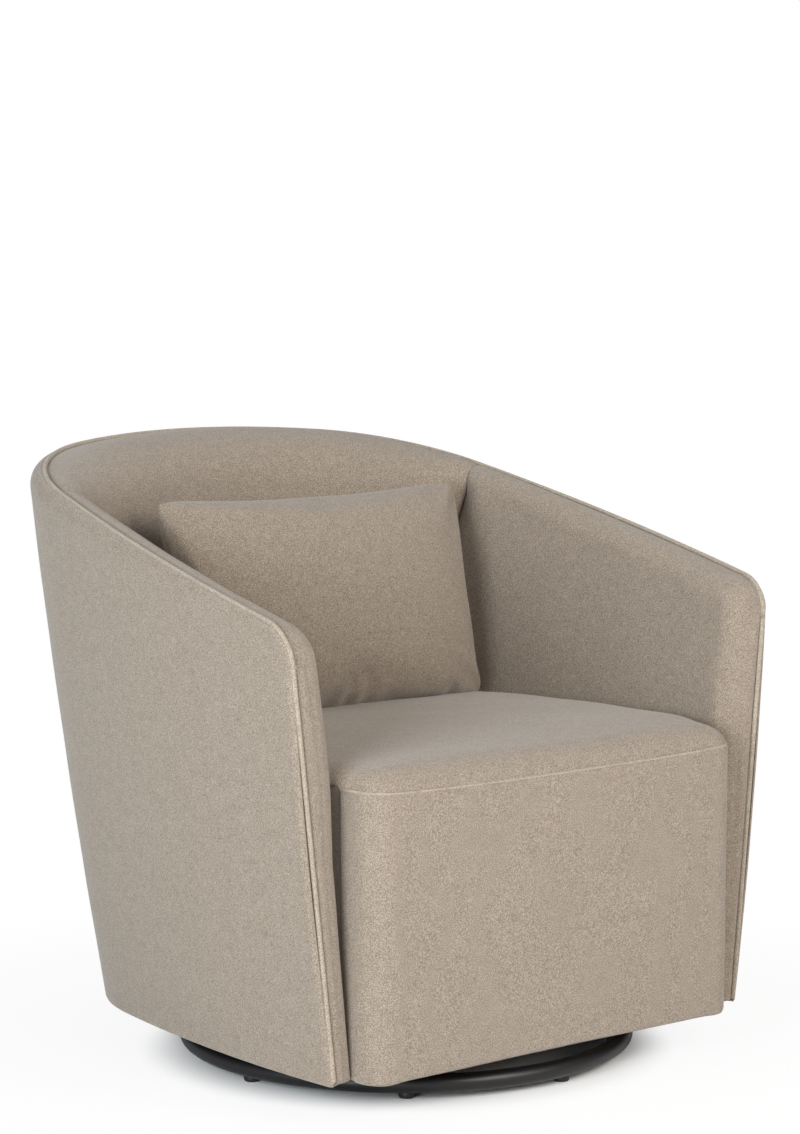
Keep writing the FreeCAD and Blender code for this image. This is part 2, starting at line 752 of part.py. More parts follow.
# A straight board across the tub, as long as the tub lets it be
def board_across(front, gauge, low, height, inset):
    reach = min(
        clear_half_width(depth, level, inset)
        for depth in (front, front + gauge)
        for level in (low, low + height)
    ) - size("layer_gap")
    return Part.makeBox(2 * reach, gauge, height, Vector(-reach, front, low))


def rectangle(inner, outer, low, high):
    return [(outer, low, 0), (outer, high, 0), (inner, high, 0), (inner, low, 0)]


# Wooden frame: bent rails that follow the tub, posts between them, and straight boards across
def make_frame():
    rail_end = rail_inset + size("rail_gauge")
    front_start = size("arm_front_gauge") + size("layer_gap")
    rail_top = frame_height + size("bottom_rail_height")
    angles = stations_from(front_start)
    shaped("bottom_rail", wall_loft(angles, lambda a: rectangle(
        rail_inset, rail_end, frame_height, rail_top), True))
    shaped("top_rail", wall_loft(angles, lambda a: rectangle(
        rail_inset, rail_end, top_rail_top(a) - size("top_rail_height"), top_rail_top(a)), True))

    deck_low = size("deck_height") - size("deck_rail_height")
    deck_end = webbing_inset + size("deck_rail_gauge")
    board_back = size("seat_rail_gauge") - size("front_rail_forward") + size("hem_front")
    shaped("deck_rail", wall_loft(stations_from(board_back + size("layer_gap")), lambda a: rectangle(
        webbing_inset, deck_end, deck_low, size("deck_height")), True))

    def post(centre, width):
        half = math.degrees(width / 2 / top_radius(centre))
        return wall_loft([centre - half, centre, centre + half], lambda a: rectangle(
            rail_inset + size("post_clearance"), rail_end - size("post_clearance"),
            rail_top + size("layer_gap"),
            top_rail_top(a) - size("top_rail_height") - size("post_clearance")))

    half_post = size("post_width") / 2
    places = {
        "front_posts": angle_behind_front(front_start + half_post),
        "arm_posts": (size("side_angle") + size("shoulder_angle")) / 2,
        "shoulder_posts": size("seam_angle") + size("seam_angle") / 2,
        "corner_posts": (size("shoulder_angle") + size("corner_angle")) / 2,
        "back_posts": (size("corner_angle") + 90) / 2,
    }
    for label, centre in places.items():
        right = post(centre, size("post_width"))
        shaped(label, Part.makeCompound([right, mirrored(right)]))

    front = -size("front_rail_forward")
    gauge = size("seat_rail_gauge")
    seat_rail_low = size("deck_height") - size("seat_rail_height")
    shaped("front_bottom_rail", board_across(front, gauge, frame_height,
                                             size("bottom_rail_height"), rail_end))
    shaped("front_seat_rail", board_across(front, gauge, seat_rail_low,
                                           size("seat_rail_height"), rail_end))
    shaped("seat_back_rail", board_across(size("seat_back_rail_back"), gauge, seat_rail_low,
                                          size("seat_rail_height"), deck_end))
    width = size("upright_width")
    spread = size("panel_half_width_low") / 2
    uprights = [
        Part.makeBox(width, gauge, seat_rail_low - rail_top, Vector(x - width / 2, front, rail_top))
        for x in (-spread, 0, spread)
    ]
    shaped("front_uprights", Part.makeCompound(uprights))
    back_uprights = [
        Part.makeBox(width, gauge, seat_rail_low - rail_top,
                     Vector(x - width / 2, size("seat_back_rail_back"), rail_top))
        for x in (-spread, spread)
    ]
    shaped("back_uprights", Part.makeCompound(back_uprights))
    shaped("back_bottom_rail", board_across(size("seat_back_rail_back"), gauge, frame_height,
                                            size("bottom_rail_height"), rail_end))

    board_top = frame_height + size("board_gauge")
    side = size("board_side")
    board = Part.makeBox(side, side, size("board_gauge"), Vector(-side / 2, -side / 2, frame_height))
    board_low = Vector(0, 0, frame_height)
    board = board.cut(Part.makeCylinder(size("board_hole_radius"), size("board_gauge"), board_low))
    hole = Part.makeCylinder(size("bolt_hole_radius"), size("board_gauge"),
                             Vector(size("bolt_spacing"), size("bolt_spacing"), frame_height))
    for tool in ring_of(hole, 4):
        board = board.cut(tool)
    shaped("swivel_board", board)
    rails = [
        board_across(depth, size("cross_rail_gauge"), board_top, size("cross_rail_height"), rail_end)
        for depth in (-size("cross_rail_back") - size("cross_rail_gauge"), size("cross_rail_back"))
    ]
    shaped("cross_rails", Part.makeCompound(rails))


# Elastic webbing behind the inside back, from the deck rail to the top rail
def make_webbing():
    half = math.degrees(size("webbing_width") / 2 / size("hem_corner_radius"))
    straps = []
    for share in webbing_place_shares:
        centre = size("seam_angle") + (90 - size("seam_angle")) * share
        angles = [centre - half, centre, centre + half]
        strap = wall_loft(angles, lambda a: rectangle(
            webbing_inset, webbing_inset + size("webbing_gauge"),
            size("deck_height") + size("layer_gap"), top_rail_top(a) - size("layer_gap")))
        straps.append(strap)
        if share < 1:
            straps.append(mirrored(strap))
    shaped("back_webbing", Part.makeCompound(straps))


# Outer cover: runs up from the hem and rolls in over the rounded top edge as far as the welt
def cover_corners(angle):
    gauge = size("cover_gauge")
    roll = cover_roll(angle)
    rim = rim_height(angle)
    end = cover_end(angle)
    half_height = (rim - size("hem_height")) / 2
    bow = size("cover_bow")
    bow_radius = size("bow_reach") * half_height / bow
    return [(0, size("hem_height"), 0), (-bow, size("hem_height") + half_height, bow_radius), (0, rim, roll),
            (end, rim, 0), (end, rim - gauge, 0), (gauge, rim - gauge - roll, 0),
            (gauge, size("hem_height"), 0)]


def pad_corners(angle, low):
    rim = rim_height(angle)
    crest = rim + size("pad_crest")
    start = pad_start(angle)
    low_wall = back_wall(angle, pad_underside, size("back_wall_low"))
    top_wall = back_wall(angle, rim, size("back_wall_top"))
    share = fullness(angle)
    swell = size("arm_swell") + (size("back_swell") - size("arm_swell")) * share
    roll = size("arm_roll_radius") + (size("back_roll_radius") - size("arm_roll_radius")) * share
    middle = (pad_underside + rim) / 2
    front_pull = edge_pull(angle) * size("arm_edge_radius")
    top_wall -= front_pull
    low_wall -= front_pull
    roll = min(roll, (top_wall - start) * roll_limit_share)
    return [
        (pad_inset, low, 0),
        (pad_inset, top_rail_top(angle) + size("layer_gap"), 0),
        (start, rim - size("cover_gauge"), 0),
        (start, rim, 0),
        (top_wall, crest, roll),
        ((low_wall + top_wall) / 2 + swell, middle, size("swell_radius")),
        (low_wall, low, 0),
    ]


# Share of the arm's inner front edge radius that is rounded away at a station
def edge_pull(angle):
    radius = size("arm_edge_radius")
    return quarter_drop(distance_behind_front(angle), radius) / radius


# Padding over the arm front, from the hem to the rim, narrower at the hem
def arm_front_corners(angle):
    rim = rim_height(angle)
    start = pad_start(angle)
    pull = edge_pull(angle)
    hem_wall = size("arm_wall_hem") - pull * size("arm_edge_hem_radius")
    wall = size("arm_wall") - pull * size("arm_edge_radius")
    roll = min(size("arm_roll_radius"), (wall - start) * roll_limit_share)
    return [(start, size("hem_height"), 0), (start, rim, 0), (wall, rim + size("pad_crest"), roll),
            (wall, size("seam_height"), 0), (hem_wall, size("hem_height"), 0)]


def make_upholstery():
    gap = size("layer_gap")
    shaped("outer_cover", wall_loft(whole_angles, cover_corners))
    shaped("outer_panel", wall_loft(stations_from(size("welt_diameter")), lambda a: rectangle(
        panel_inset, panel_inset + size("panel_gauge"), frame_height,
        rim_height(a) - cover_roll(a) - 2 * size("cover_gauge")), True))

    gauge_angle = angle_behind_front(size("arm_front_gauge"))
    front_angles = corner_angles[:3] + [gauge_angle]
    side = right_angles[4:]
    seam_gap = math.degrees(gap / 2 / size("top_corner_radius"))
    side[-1] -= seam_gap
    front = wall_loft(front_angles, arm_front_corners)
    arm = wall_loft([gauge_angle] + side, lambda a: pad_corners(a, pad_underside))
    arm = arm.fuse(front)
    shaped("inside_arm_left", arm)
    shaped("inside_arm_right", mirrored(arm))
    middle = [size("seam_angle") + seam_gap] + back_angles
    middle = middle + [180 - angle for angle in reversed(middle[:-1])]
    shaped("inside_back", wall_loft(middle, lambda a: pad_corners(a, pad_underside)))


# Welt: a cord that runs straight up one arm front, bends round its corner, follows the rim over the
# back and comes down the other arm front
def welt_point(angle):
    left = max(1 - distance_behind_front(angle) / size("rim_corner_radius"), 0)
    lift = Vector(0, -left, math.sqrt(1 - left ** 2)) * size("welt_lift")
    return tub_point(angle, rim_height(angle), welt_inset(angle)) + lift


# Round section of three arcs, square to the line
def cord_section(point, along, out, radius):
    side = (out - along * out.dot(along)).normalize()
    up = side.cross(along).normalize()
    ways = [side * math.cos(math.radians(60 * i)) + up * math.sin(math.radians(60 * i)) for i in range(6)]
    rim = [point + way * radius for way in ways]
    return Part.Wire([Part.Arc(rim[i], rim[i + 1], rim[(i + 2) % 6]).toShape() for i in (0, 2, 4)])


def make_welt():
    radius = size("welt_diameter") / 2
    start = angle_behind_front(0)
    foot = tub_point(start, size("hem_height") + radius, welt_inset(start)) - Vector(0, size("welt_lift"), 0)
    angles = divided(whole_angles[:len(whole_angles) // 2 + 1], size("welt_step"))
    points = [foot] + [welt_point(angle) for angle in angles]
    outs = [radial(start)] + [radial(angle) for angle in angles]
    ways = [(after - before).normalize() for before, after in zip(points, points[1:])]
    alongs = ways[:1] + [(a + b).normalize() for a, b in zip(ways, ways[1:])] + [Vector(-1, 0, 0)]
    sections = [cord_section(point, along, out, radius) for point, along, out in zip(points, alongs, outs)]
    right = Part.makeLoft(sections, True, True)
    shaped("welt", right.fuse(mirrored(right)))


# Face line of the inside pads at a height, from the right arm front to the left one
def inner_points(height, clearance):
    ahead = [angle for angle in right_angles if distance_behind_front(angle) >= size("arm_edge_radius")]
    # each arc takes two steps, and two arcs have to meet at the seam
    if len(ahead) % 2 == 0:
        ahead = ahead[1:]
    angles = ahead + back_angles
    points = []
    for angle in angles + [180 - angle for angle in reversed(angles[:-1])]:
        corners = pad_corners(angle, pad_underside)
        (low_wall, low, _), (mid_wall, middle, _) = corners[-1], corners[-2]
        share = (height - low) / (middle - low)
        wall = low_wall + (mid_wall - low_wall) * share
        points.append(tub_point(angle, height, wall + clearance))
    return points


def arcs_through(points):
    return [
        Part.Arc(points[i], points[i + 1], points[i + 2]).toShape() for i in range(0, len(points) - 2, 2)
    ]


# Rounded front of the seat and its panel in plan, from one side to the other
def front_edges(height, half_width, forward, back, radius, bow):
    lift = Vector(0, 0, height)
    turn = radius * (1 - math.cos(math.pi / 4))
    right = Vector(half_width, -back, 0) + lift
    side = Vector(half_width, radius - forward, 0) + lift
    corner = Vector(half_width - turn, turn - forward, 0) + lift
    front = Vector(half_width - radius, -forward, 0) + lift
    middle = Vector(0, -forward - bow, 0) + lift

    def other(point):
        return Vector(-point.x, point.y, point.z)

    return [
        Part.makeLine(other(right), other(side)),
        Part.Arc(other(side), other(corner), other(front)).toShape(),
        Part.Arc(other(front), middle, front).toShape(),
        Part.Arc(front, corner, side).toShape(),
        Part.makeLine(side, right),
    ], other(right), right


def panel_half_width(height):
    share = (height - size("hem_height")) / (size("seam_height") - size("hem_height"))
    low, top = size("panel_half_width_low"), size("panel_half_width_top")
    return low + (top - low) * share


def make_seat():
    gap = size("layer_gap")
    seam = size("seam_height")
    clearance = size("seat_clearance")

    # Foam block between the pads, from the straps to the seam
    def foam_wire(height):
        points = inner_points(height, clearance)
        right, left = points[0], points[-1]
        front = -size("front_rail_forward") + gap
        ends = [Vector(left.x, front, height), Vector(right.x, front, height)]
        corners = [left] + ends + [right]
        return Part.Wire(arcs_through(points) + [Part.makeLine(a, b) for a, b in zip(corners, corners[1:])])

    shaped("seat_foam", Part.makeLoft([foam_wire(pad_underside), foam_wire(seam - gap)], True, True))

    # Crowned top that runs forward over the front panel, with a rolled front edge
    def top_wire(share):
        height = seam + size("crown_edge") * share
        set_back = size("seat_roll_reach") * (1 - math.sqrt(1 - share ** 2))
        points = inner_points(height, clearance)
        right, left = points[0], points[-1]
        front, start, end = front_edges(height, size("panel_half_width_top") - set_back / 2,
                                        size("panel_forward") - set_back, size("panel_return"),
                                        size("panel_corner_radius"), size("panel_bow"))
        edges = arcs_through(points) + [Part.makeLine(left, start)] + front + [Part.makeLine(end, right)]
        return Part.Wire(edges)

    above = seam + size("crown_rise") + size("pad_crest")
    rolled = [top_wire(share) for share in seat_roll_shares]
    raised = rolled[-1].copy()
    raised.translate(Vector(0, 0, above - seam - size("crown_edge")))
    block = Part.makeLoft(rolled + [raised], True, True)
    edge = seam + size("crown_edge")
    rise = size("crown_rise") - size("crown_edge")
    grid = []
    for i in crown_grid_shares:
        across = []
        for j in crown_grid_shares:
            full = (1 - i ** 2) * (1 - j ** 2)
            x, y = i * size("crown_half_width"), j * size("crown_half_depth") - size("crown_forward")
            drop = size("crown_back_drop") * ((1 + j) / 2) ** 3
            across.append(Vector(x, y, edge + rise * full - drop))
        grid.append(across)
    surface = Part.BSplineSurface()
    surface.interpolate(grid)
    under = surface.toShape().extrude(Vector(0, 0, seam - above))
    shaped("seat_cushion", block.common(under))

    # Front panel: a padded skin that turns back between the arms, with foam behind it
    gauge = size("panel_gauge_front")
    low, high = size("hem_height") + gap, seam - gap

    def panel_wire(height):
        half = panel_half_width(height)
        back = size("panel_return")
        outer, start, end = front_edges(height, half, size("panel_forward"), back + gauge,
                                        size("panel_corner_radius"), size("panel_bow"))
        inner, inner_start, inner_end = front_edges(height, half - gauge, size("panel_forward") - gauge,
                                                    back, size("panel_corner_radius") - gauge,
                                                    size("panel_bow"))
        # the ends turn outwards and close the gap beside the arms
        low_share = (seam - height) / (seam - size("hem_height"))
        wall = size("arm_wall") + (size("arm_wall_hem") - size("arm_wall")) * low_share
        reach = tub_point(angle_behind_front(size("arm_front_gauge")), height, wall).x - clearance
        ends = [end, Vector(reach, -back - gauge, height), Vector(reach, -back, height), inner_end]
        other_ends = [Vector(-point.x, point.y, point.z) for point in ends]
        edges = outer + inner
        for run in (ends, other_ends):
            edges += [Part.makeLine(a, b) for a, b in zip(run, run[1:])]
        return Part.Wire(Part.__sortEdges__(edges))

    shaped("front_panel", Part.makeLoft([panel_wire(low), panel_wire(high)], True, True))

    def front_foam_wire(height):
        half = panel_half_width(height) - gauge - gap
        edges, start, end = front_edges(height, half, size("panel_forward") - gauge - gap,
                                        size("front_rail_forward") + gap,
                                        size("panel_corner_radius") - gauge - gap, size("panel_bow"))
        return Part.Wire(Part.__sortEdges__(edges + [Part.makeLine(end, start)]))

    shaped("front_foam", Part.makeLoft([front_foam_wire(low + size("frame_rise")), front_foam_wire(high)],
                                       True, True))

    # Dust cover under the frame, open round the swivel bearing
    sheet_low = size("hem_height") + gap / 2
    sheet_high = sheet_low + size("dust_cover_gauge")

    def dust_wire(height):
        inset = size("dust_cover_inset")
        points = [tub_point(angle, height, inset) for angle in whole_angles[5:-5]]
        right, left = points[0], points[-1]
        front = -size("front_rail_forward") + gap
        ends = [Vector(left.x, front, height), Vector(right.x, front, height)]
        edges = arcs_through(points)
        corners = [left] + ends + [right]
        edges += [Part.makeLine(a, b) for a, b in zip(corners, corners[1:])]
        return Part.Wire(edges)

    dust = Part.makeLoft([dust_wire(sheet_low), dust_wire(sheet_high)], True, True)
    half = size("mechanism_opening")
    opening = Part.makeBox(2 * half, 2 * half, size("dust_cover_gauge"), Vector(-half, -half, sheet_low))
    shaped("dust_cover", dust.cut(opening))


# Elastic straps under the seat: some run from front to back, the others lie across them
def make_seat_straps():
    gauge, width = size("strap_gauge"), size("strap_width")
    low = size("deck_height")
    front = -size("front_rail_forward")
    back = size("seat_back_rail_back") + size("seat_rail_gauge")

    def middles(count, spacing):
        return [(i - (count - 1) / 2) * spacing for i in range(count)]

    along = [
        Part.makeBox(width, back - front, gauge, Vector(x - width / 2, front, low))
        for x in middles(int(size("long_strap_count")), size("long_strap_spacing"))
    ]
    shaped("seat_straps_long", Part.makeCompound(along))
    across = [
        board_across(y - width / 2, width, low + gauge, gauge, webbing_inset)
        for y in middles(int(size("cross_strap_count")), size("cross_strap_spacing"))
    ]
    shaped("seat_straps_cross", Part.makeCompound(across))


# Lumbar pillow: lens sections along its width, full in the middle and thin at the sewn edges
def make_pillow():
    half_width = size("pillow_width") / 2
    edge = size("pillow_edge")

    def section(x, thickness, height):
        top, low = height / 2, -height / 2
        seam = edge / 2
        full = max(thickness / 2, seam + size("layer_gap"))
        corners = [Vector(x, -seam, low), Vector(x, -full, 0), Vector(x, -seam, top),
                   Vector(x, seam, top), Vector(x, full, 0), Vector(x, seam, low)]
        return Part.Wire([
            Part.Arc(corners[0], corners[1], corners[2]).toShape(),
            Part.makeLine(corners[2], corners[3]),
            Part.Arc(corners[3], corners[4], corners[5]).toShape(),
            Part.makeLine(corners[5], corners[0]),
        ])

    sections = []
    for share, thick, tall in zip(pillow_station_shares, pillow_thickness_shares, pillow_height_shares):
        height = size("pillow_height") + (size("pillow_corner_height") - size("pillow_height")) * tall
        sections.append((half_width * share, edge + (size("pillow_thickness") - edge) * thick, height))
    run = [(-x, t, tall) for x, t, tall in reversed(sections[1:])] + sections
    pillow = Part.makeLoft([section(*values) for values in run], True, False)
    bow = size("pillow_side_bow")
    half_height = size("pillow_corner_height") / 2
    radius = (half_height ** 2 + bow ** 2) / (2 * bow)
    thickness = size("pillow_thickness")
    for side in (-1, 1):
        place = Vector(side * (half_width + radius - bow), -thickness / 2, 0)
        pillow = pillow.cut(Part.makeCylinder(radius, thickness, place, Vector(0, 1, 0)))
    pillow.rotate(Vector(0, 0, 0), Vector(1, 0, 0), -size("pillow_lean"))
    centre_height = size("seam_height") + size("pillow_centre_rise")
    pillow.translate(Vector(size("pillow_shift"), size("pillow_back"), centre_height))
    shaped("lumbar_pillow", Part.makeCompound([pillow]))


make_base()
make_bearing()
make_bolts()
make_frame()
make_webbing()
make_upholstery()
make_welt()
make_seat()
make_seat_straps()
make_pillow()
document.recompute()

for thing in document.Objects:
    if "Invalid" in thing.State or "Error" in thing.State:
        raise RuntimeError(f"{thing.Name} failed: {thing.State}")
for part in parts:
    if part.Shape.isNull() or not part.Shape.isValid() or not part.Shape.Solids:
        raise RuntimeError(f"{part.Label} has no valid solid")

os.makedirs("parts", exist_ok=True)
for part in parts:
    part.Shape.exportStep(f"parts/{part.Label}.step")
    bounds = part.Shape.BoundBox
    print(f"{part.Label:22s} solids {len(part.Shape.Solids):2d}  volume {part.Shape.Volume / 1e3:10.1f} cm3 "
          f"x {bounds.XMin:7.1f} {bounds.XMax:7.1f}  y {bounds.YMin:7.1f} {bounds.YMax:7.1f}  "
          f"z {bounds.ZMin:6.1f} {bounds.ZMax:6.1f}")
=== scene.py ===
import json
import bpy
import numpy as np
from mathutils import Matrix, Vector


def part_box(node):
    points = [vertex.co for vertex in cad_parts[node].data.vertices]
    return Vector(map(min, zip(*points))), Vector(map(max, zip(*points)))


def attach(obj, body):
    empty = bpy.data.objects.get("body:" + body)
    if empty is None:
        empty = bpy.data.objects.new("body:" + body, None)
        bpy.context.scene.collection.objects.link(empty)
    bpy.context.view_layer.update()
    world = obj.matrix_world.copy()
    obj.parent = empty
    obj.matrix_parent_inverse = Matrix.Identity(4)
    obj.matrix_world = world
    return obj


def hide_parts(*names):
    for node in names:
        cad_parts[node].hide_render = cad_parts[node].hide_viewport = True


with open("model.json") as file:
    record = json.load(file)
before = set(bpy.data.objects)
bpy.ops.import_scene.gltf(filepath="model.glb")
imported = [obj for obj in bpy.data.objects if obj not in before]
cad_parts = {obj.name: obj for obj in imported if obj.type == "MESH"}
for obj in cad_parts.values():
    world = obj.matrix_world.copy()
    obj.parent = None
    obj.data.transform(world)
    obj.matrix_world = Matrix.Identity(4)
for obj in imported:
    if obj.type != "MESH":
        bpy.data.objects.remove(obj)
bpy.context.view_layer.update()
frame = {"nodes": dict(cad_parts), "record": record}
print("frame loaded", len(frame["nodes"]), "nodes")

# Everything below is in metres. Shapes are worked out about the swivel axis, which stands on the
# middle plane of the chair, and addPiece shifts them to where the CAD has that axis.
pivotLow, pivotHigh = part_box("swivel_pivot")
axisShift = np.array([0.0, (pivotLow.y + pivotHigh.y) / 2, 0.0])

# Camera of the photo, found from the round base ring, the floor and the tub's outline
camera = {
    "turn": 40.19,        # degrees off the straight front view
    "distance": 4.0592,   # from the swivel axis, along the floor
    "height": 1.020,
    "pitch": 5.97,        # degrees below level
    "lens": 105.6,        # mm
    "sensor": 36,         # mm along the long side
    "shift": -0.00547,    # of the frame's long side
}


# The camera's axes: ahead from turn and pitch, right from the turn, and up as their cross product
def placeCamera():
    turn, pitch = np.radians([camera["turn"], camera["pitch"]])
    away = camera["distance"]
    spot = np.array([-np.sin(turn) * away, -np.cos(turn) * away, camera["height"]])
    ahead = np.array([np.sin(turn) * np.cos(pitch), np.cos(turn) * np.cos(pitch), -np.sin(pitch)])
    right = np.array([np.cos(turn), -np.sin(turn), 0.0])
    up = np.cross(right, ahead)
    lens = bpy.data.cameras.new("photoCamera")
    lens.lens = camera["lens"]
    lens.sensor_width = camera["sensor"]
    lens.shift_x = camera["shift"]
    eye = bpy.data.objects.new("photoCamera", lens)
    turnTo = Matrix(np.stack([right, up, -ahead], 1).tolist()).to_4x4()
    eye.matrix_world = Matrix.Translation(Vector(spot + axisShift)) @ turnTo
    bpy.context.scene.collection.objects.link(eye)
    bpy.context.scene.camera = eye


placeCamera()


# Helpers for numbers

# First, plus a share of the way to last
def between(first, last, share):
    return first + (last - first) * share


# Smooth step: three squares less two cubes, from 0 to 1 with level ends
def smooth(share):
    return share ** 2 * (3 - 2 * share)


# Drop of a quarter round at a distance from where it starts: the radius, less the root of its square
# less the square of what is left
def quarterDrop(distance, radius):
    left = np.clip(radius - distance, 0, radius)
    return radius - np.sqrt(radius ** 2 - left ** 2)


# Places from 0 to a length that start close together: one minus the cosine of even turns
def closeAtStart(length, count):
    return length * (1 - np.cos(np.linspace(0, np.pi / 2, count)))


# Unit vector in plan at an angle: cosine and sine
def outward(angle):
    return np.stack([np.cos(angle), np.sin(angle)], -1)


# Cloth that isn't quite even: a few sine waves in set directions, with lengths 0.7 to 1.6 times the
# one given, added up to about the unevenness
def softWaves(points, shape, count=8):
    chance = np.random.default_rng(shape["waveSeed"])
    ways = chance.normal(size=(count, 3))
    ways /= np.linalg.norm(ways, axis=1)[:, None]
    ways *= 2 * np.pi / (shape["waveLength"] * chance.uniform(0.7, 1.6, count))[:, None]
    phase = chance.uniform(0, 2 * np.pi, count)
    return shape["unevenness"] * (np.sin(points @ ways.T + phase).sum(-1) / np.sqrt(count * 2.0))


# Helpers for meshes

# Faces of a grid of points: each joins a point to the next row and column, closed round where asked
def gridFaces(rows, columns, roundRows=False, roundColumns=False, flip=False):
    r = np.arange(rows if roundRows else rows - 1)[:, None]
    c = np.arange(columns if roundColumns else columns - 1)[None, :]
    nextR, nextC = (r + 1) % rows, (c + 1) % columns
    quads = np.stack(np.broadcast_arrays(r * columns + c, nextR * columns + c,
                                         nextR * columns + nextC, r * columns + nextC), -1).reshape(-1, 4)
    return quads[:, ::-1] if flip else quads


# Triangles that close the first and last ring of a grid to two poles, which follow the grid's points
def poleFans(rows, columns):
    k = np.arange(columns)
    pole, last = rows * columns, (rows - 1) * columns
    return np.concatenate([np.stack([np.full_like(k, pole), k, (k + 1) % columns], 1),
                           np.stack([np.full_like(k, pole + 1), last + (k + 1) % columns, last + k], 1)])


# A smooth shaded mesh that rides on a body and stands for the CAD nodes named
def addPiece(name, points, faces, body, nodes=(), tris=None):
    mesh = bpy.data.meshes.new(name)
    every = faces.tolist() + ([] if tris is None else tris.tolist())
    mesh.from_pydata((points.reshape(-1, 3) + axisShift).tolist(), [], every)
    mesh.validate()
    mesh.polygons.foreach_set("use_smooth", np.ones(len(mesh.polygons), dtype=bool))
    piece = bpy.data.objects.new(name, mesh)
    bpy.context.scene.collection.objects.link(piece)
    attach(piece, body)
    if nodes:
        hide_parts(*nodes)
    return piece


# Gives a sheet its thickness inwards
def thicken(piece, thickness):
    wall = piece.modifiers.new("thickness", "SOLIDIFY")
    wall.thickness = thickness
    wall.offset = -1


# The tub: two outlines in plan, each of three arcs a side, with straight lines up between them
tub = {
    "low": {"half": 0.325, "front": 0.252, "back": 0.3944, "corner": 0.241},
    "high": {"half": 0.4006, "front": 0.2442, "back": 0.4677, "corner": 0.241},
    "angles": (-2.7, 10.8, 71.0),   # outward direction at the arm front, shoulder and end of the corner
    "hem": 0.050,
    "level": 0.740,                 # height of the upper outline
    "rimFront": 0.5674,
    "rimBack": 0.7414,
    "frontRound": 0.036,            # corner of the arm from the side
    "rollFront": 0.0031,            # roll of the top edge, and how much larger it is at the back
    "rollBack": 0.0142,
    "rollReach": 1.14,              # how far in the rolled end lies, as a share of the roll
    "rollGap": 0.0002,
    "bow": 0.0050,                  # how far the cover bows out between hem and rim
    "weltRadius": 0.0032,
    "weltSink": 0.0016,             # how far the welt is sunk between cover and pad on each side
    "seam": 12.0,                   # outward direction where inside arm and inside back meet
    "closeWay": 0.06,               # stretch at each arm front with stations close together
    "closeCount": 18,
}
turnLimits = np.radians([*tub["angles"], 90])


# Radii of the side, corner and back arcs: side and back are solved so that the arcs, added end to
# end, lead from the arm front to the middle of the back
def outlineArcs(level):
    line = tub[level]
    start, shoulder, corner = turnLimits[:3]
    sides = outward(shoulder) - outward(start)
    backs = outward(np.pi / 2) - outward(corner)
    corners = line["corner"] * (outward(corner) - outward(shoulder))
    rest = np.array([-line["half"], line["back"] + line["front"]]) - corners
    sideRadius, backRadius = np.linalg.solve(np.stack([sides, backs], 1), rest)
    return sideRadius, line["corner"], backRadius


# Point of a level's outline by its outward direction: the arcs are added up end to end
def outlineAt(level, angle):
    line = tub[level]
    turn = np.minimum(angle, np.pi - angle)
    point = np.zeros(turn.shape + (2,)) + [line["half"], -line["front"]]
    for start, end, radius in zip(turnLimits, turnLimits[1:], outlineArcs(level)):
        point += (outward(np.clip(turn, start, end)) - outward(start)) * radius
    point[..., 0] = np.where(angle > np.pi / 2, -point[..., 0], point[..., 0])
    return point


# Point of the tub: straight between the two outlines, then set in along the outward direction
def tubPoint(angle, height, inset):
    angle, height, inset = np.broadcast_arrays(angle, height, inset)
    share = (height - tub["hem"]) / (tub["level"] - tub["hem"])
    low, high = outlineAt("low", angle), outlineAt("high", angle)
    flat = low + (high - low) * share[..., None] - outward(angle) * inset[..., None]
    return np.concatenate([flat, height[..., None]], -1)


arcSpans = np.diff(turnLimits) * np.array(outlineArcs("high"))
arcEnds = np.concatenate([[0], np.cumsum(arcSpans)])
halfWay = arcSpans.sum()     # from an arm front to the middle of the back, along the upper outline
wholeWay = 2 * halfWay
seamWay = float(np.interp(np.radians(tub["seam"]), turnLimits, arcEnds))


# Distance to the nearer arm front
def frontWay(distance):
    return np.minimum(distance, wholeWay - distance)


# Outward direction at a distance along the upper outline from the right arm front
def angleAt(distance):
    turn = np.interp(frontWay(distance), arcEnds, turnLimits)
    return np.where(distance > halfWay, np.pi - turn, turn)


# How far back a point of the upper outline lies: 0 at the arm fronts, 1 at the middle of the back
def backShare(angle):
    high = tub["high"]
    return (outlineAt("high", angle)[..., 1] + high["front"]) / (high["front"] + high["back"])


# The rim rises in a straight slope from arm front to back, and drops round the front corner
def rimHeight(distance):
    height = between(tub["rimFront"], tub["rimBack"], backShare(angleAt(distance)))
    return height - quarterDrop(frontWay(distance), tub["frontRound"])


# How far in the cover's rolled end lies: a share of the roll, which grows towards the back
def coverEnd(distance):
    roll = tub["rollFront"] + tub["rollBack"] * backShare(angleAt(distance))
    return roll * tub["rollReach"] + tub["rollGap"]


# Stations along the way round, close together at the rounded front corners
def stations(step):
    close = closeAtStart(tub["closeWay"], tub["closeCount"])
    middle = np.arange(tub["closeWay"] + step, wholeWay - tub["closeWay"] - step / 2, step)
    return np.concatenate([close, middle, wholeWay - close[::-1]])


# Outer cover
coverShape = {
    "step": 0.008,
    "hemInsets": (0.016, 0.010, 0.0052, 0.0020, 0.0004),     # the hem is folded under
    "hemLifts": (0.0030, 0.0016, 0.0005, 0.0002, 0.0014),
    "wallStart": 0.003,       # above the hem
    "wallRows": 84,
    "rollRows": 14,
    "rollHeight": 0.006,      # height of the rolled top edge, and how much higher it is at the back
    "rollHeightBack": 0.020,
    "tuckInsets": (0.0007, 0.0009),      # the rolled end dips beside the welt
    "tuckDrops": (0.0016, 0.0050),
    "frontFold": 0.0050,
    "gauge": 0.0016,
    "unevenness": 0.0005,
    "waveLength": 0.16,
    "waveSeed": 3,
}


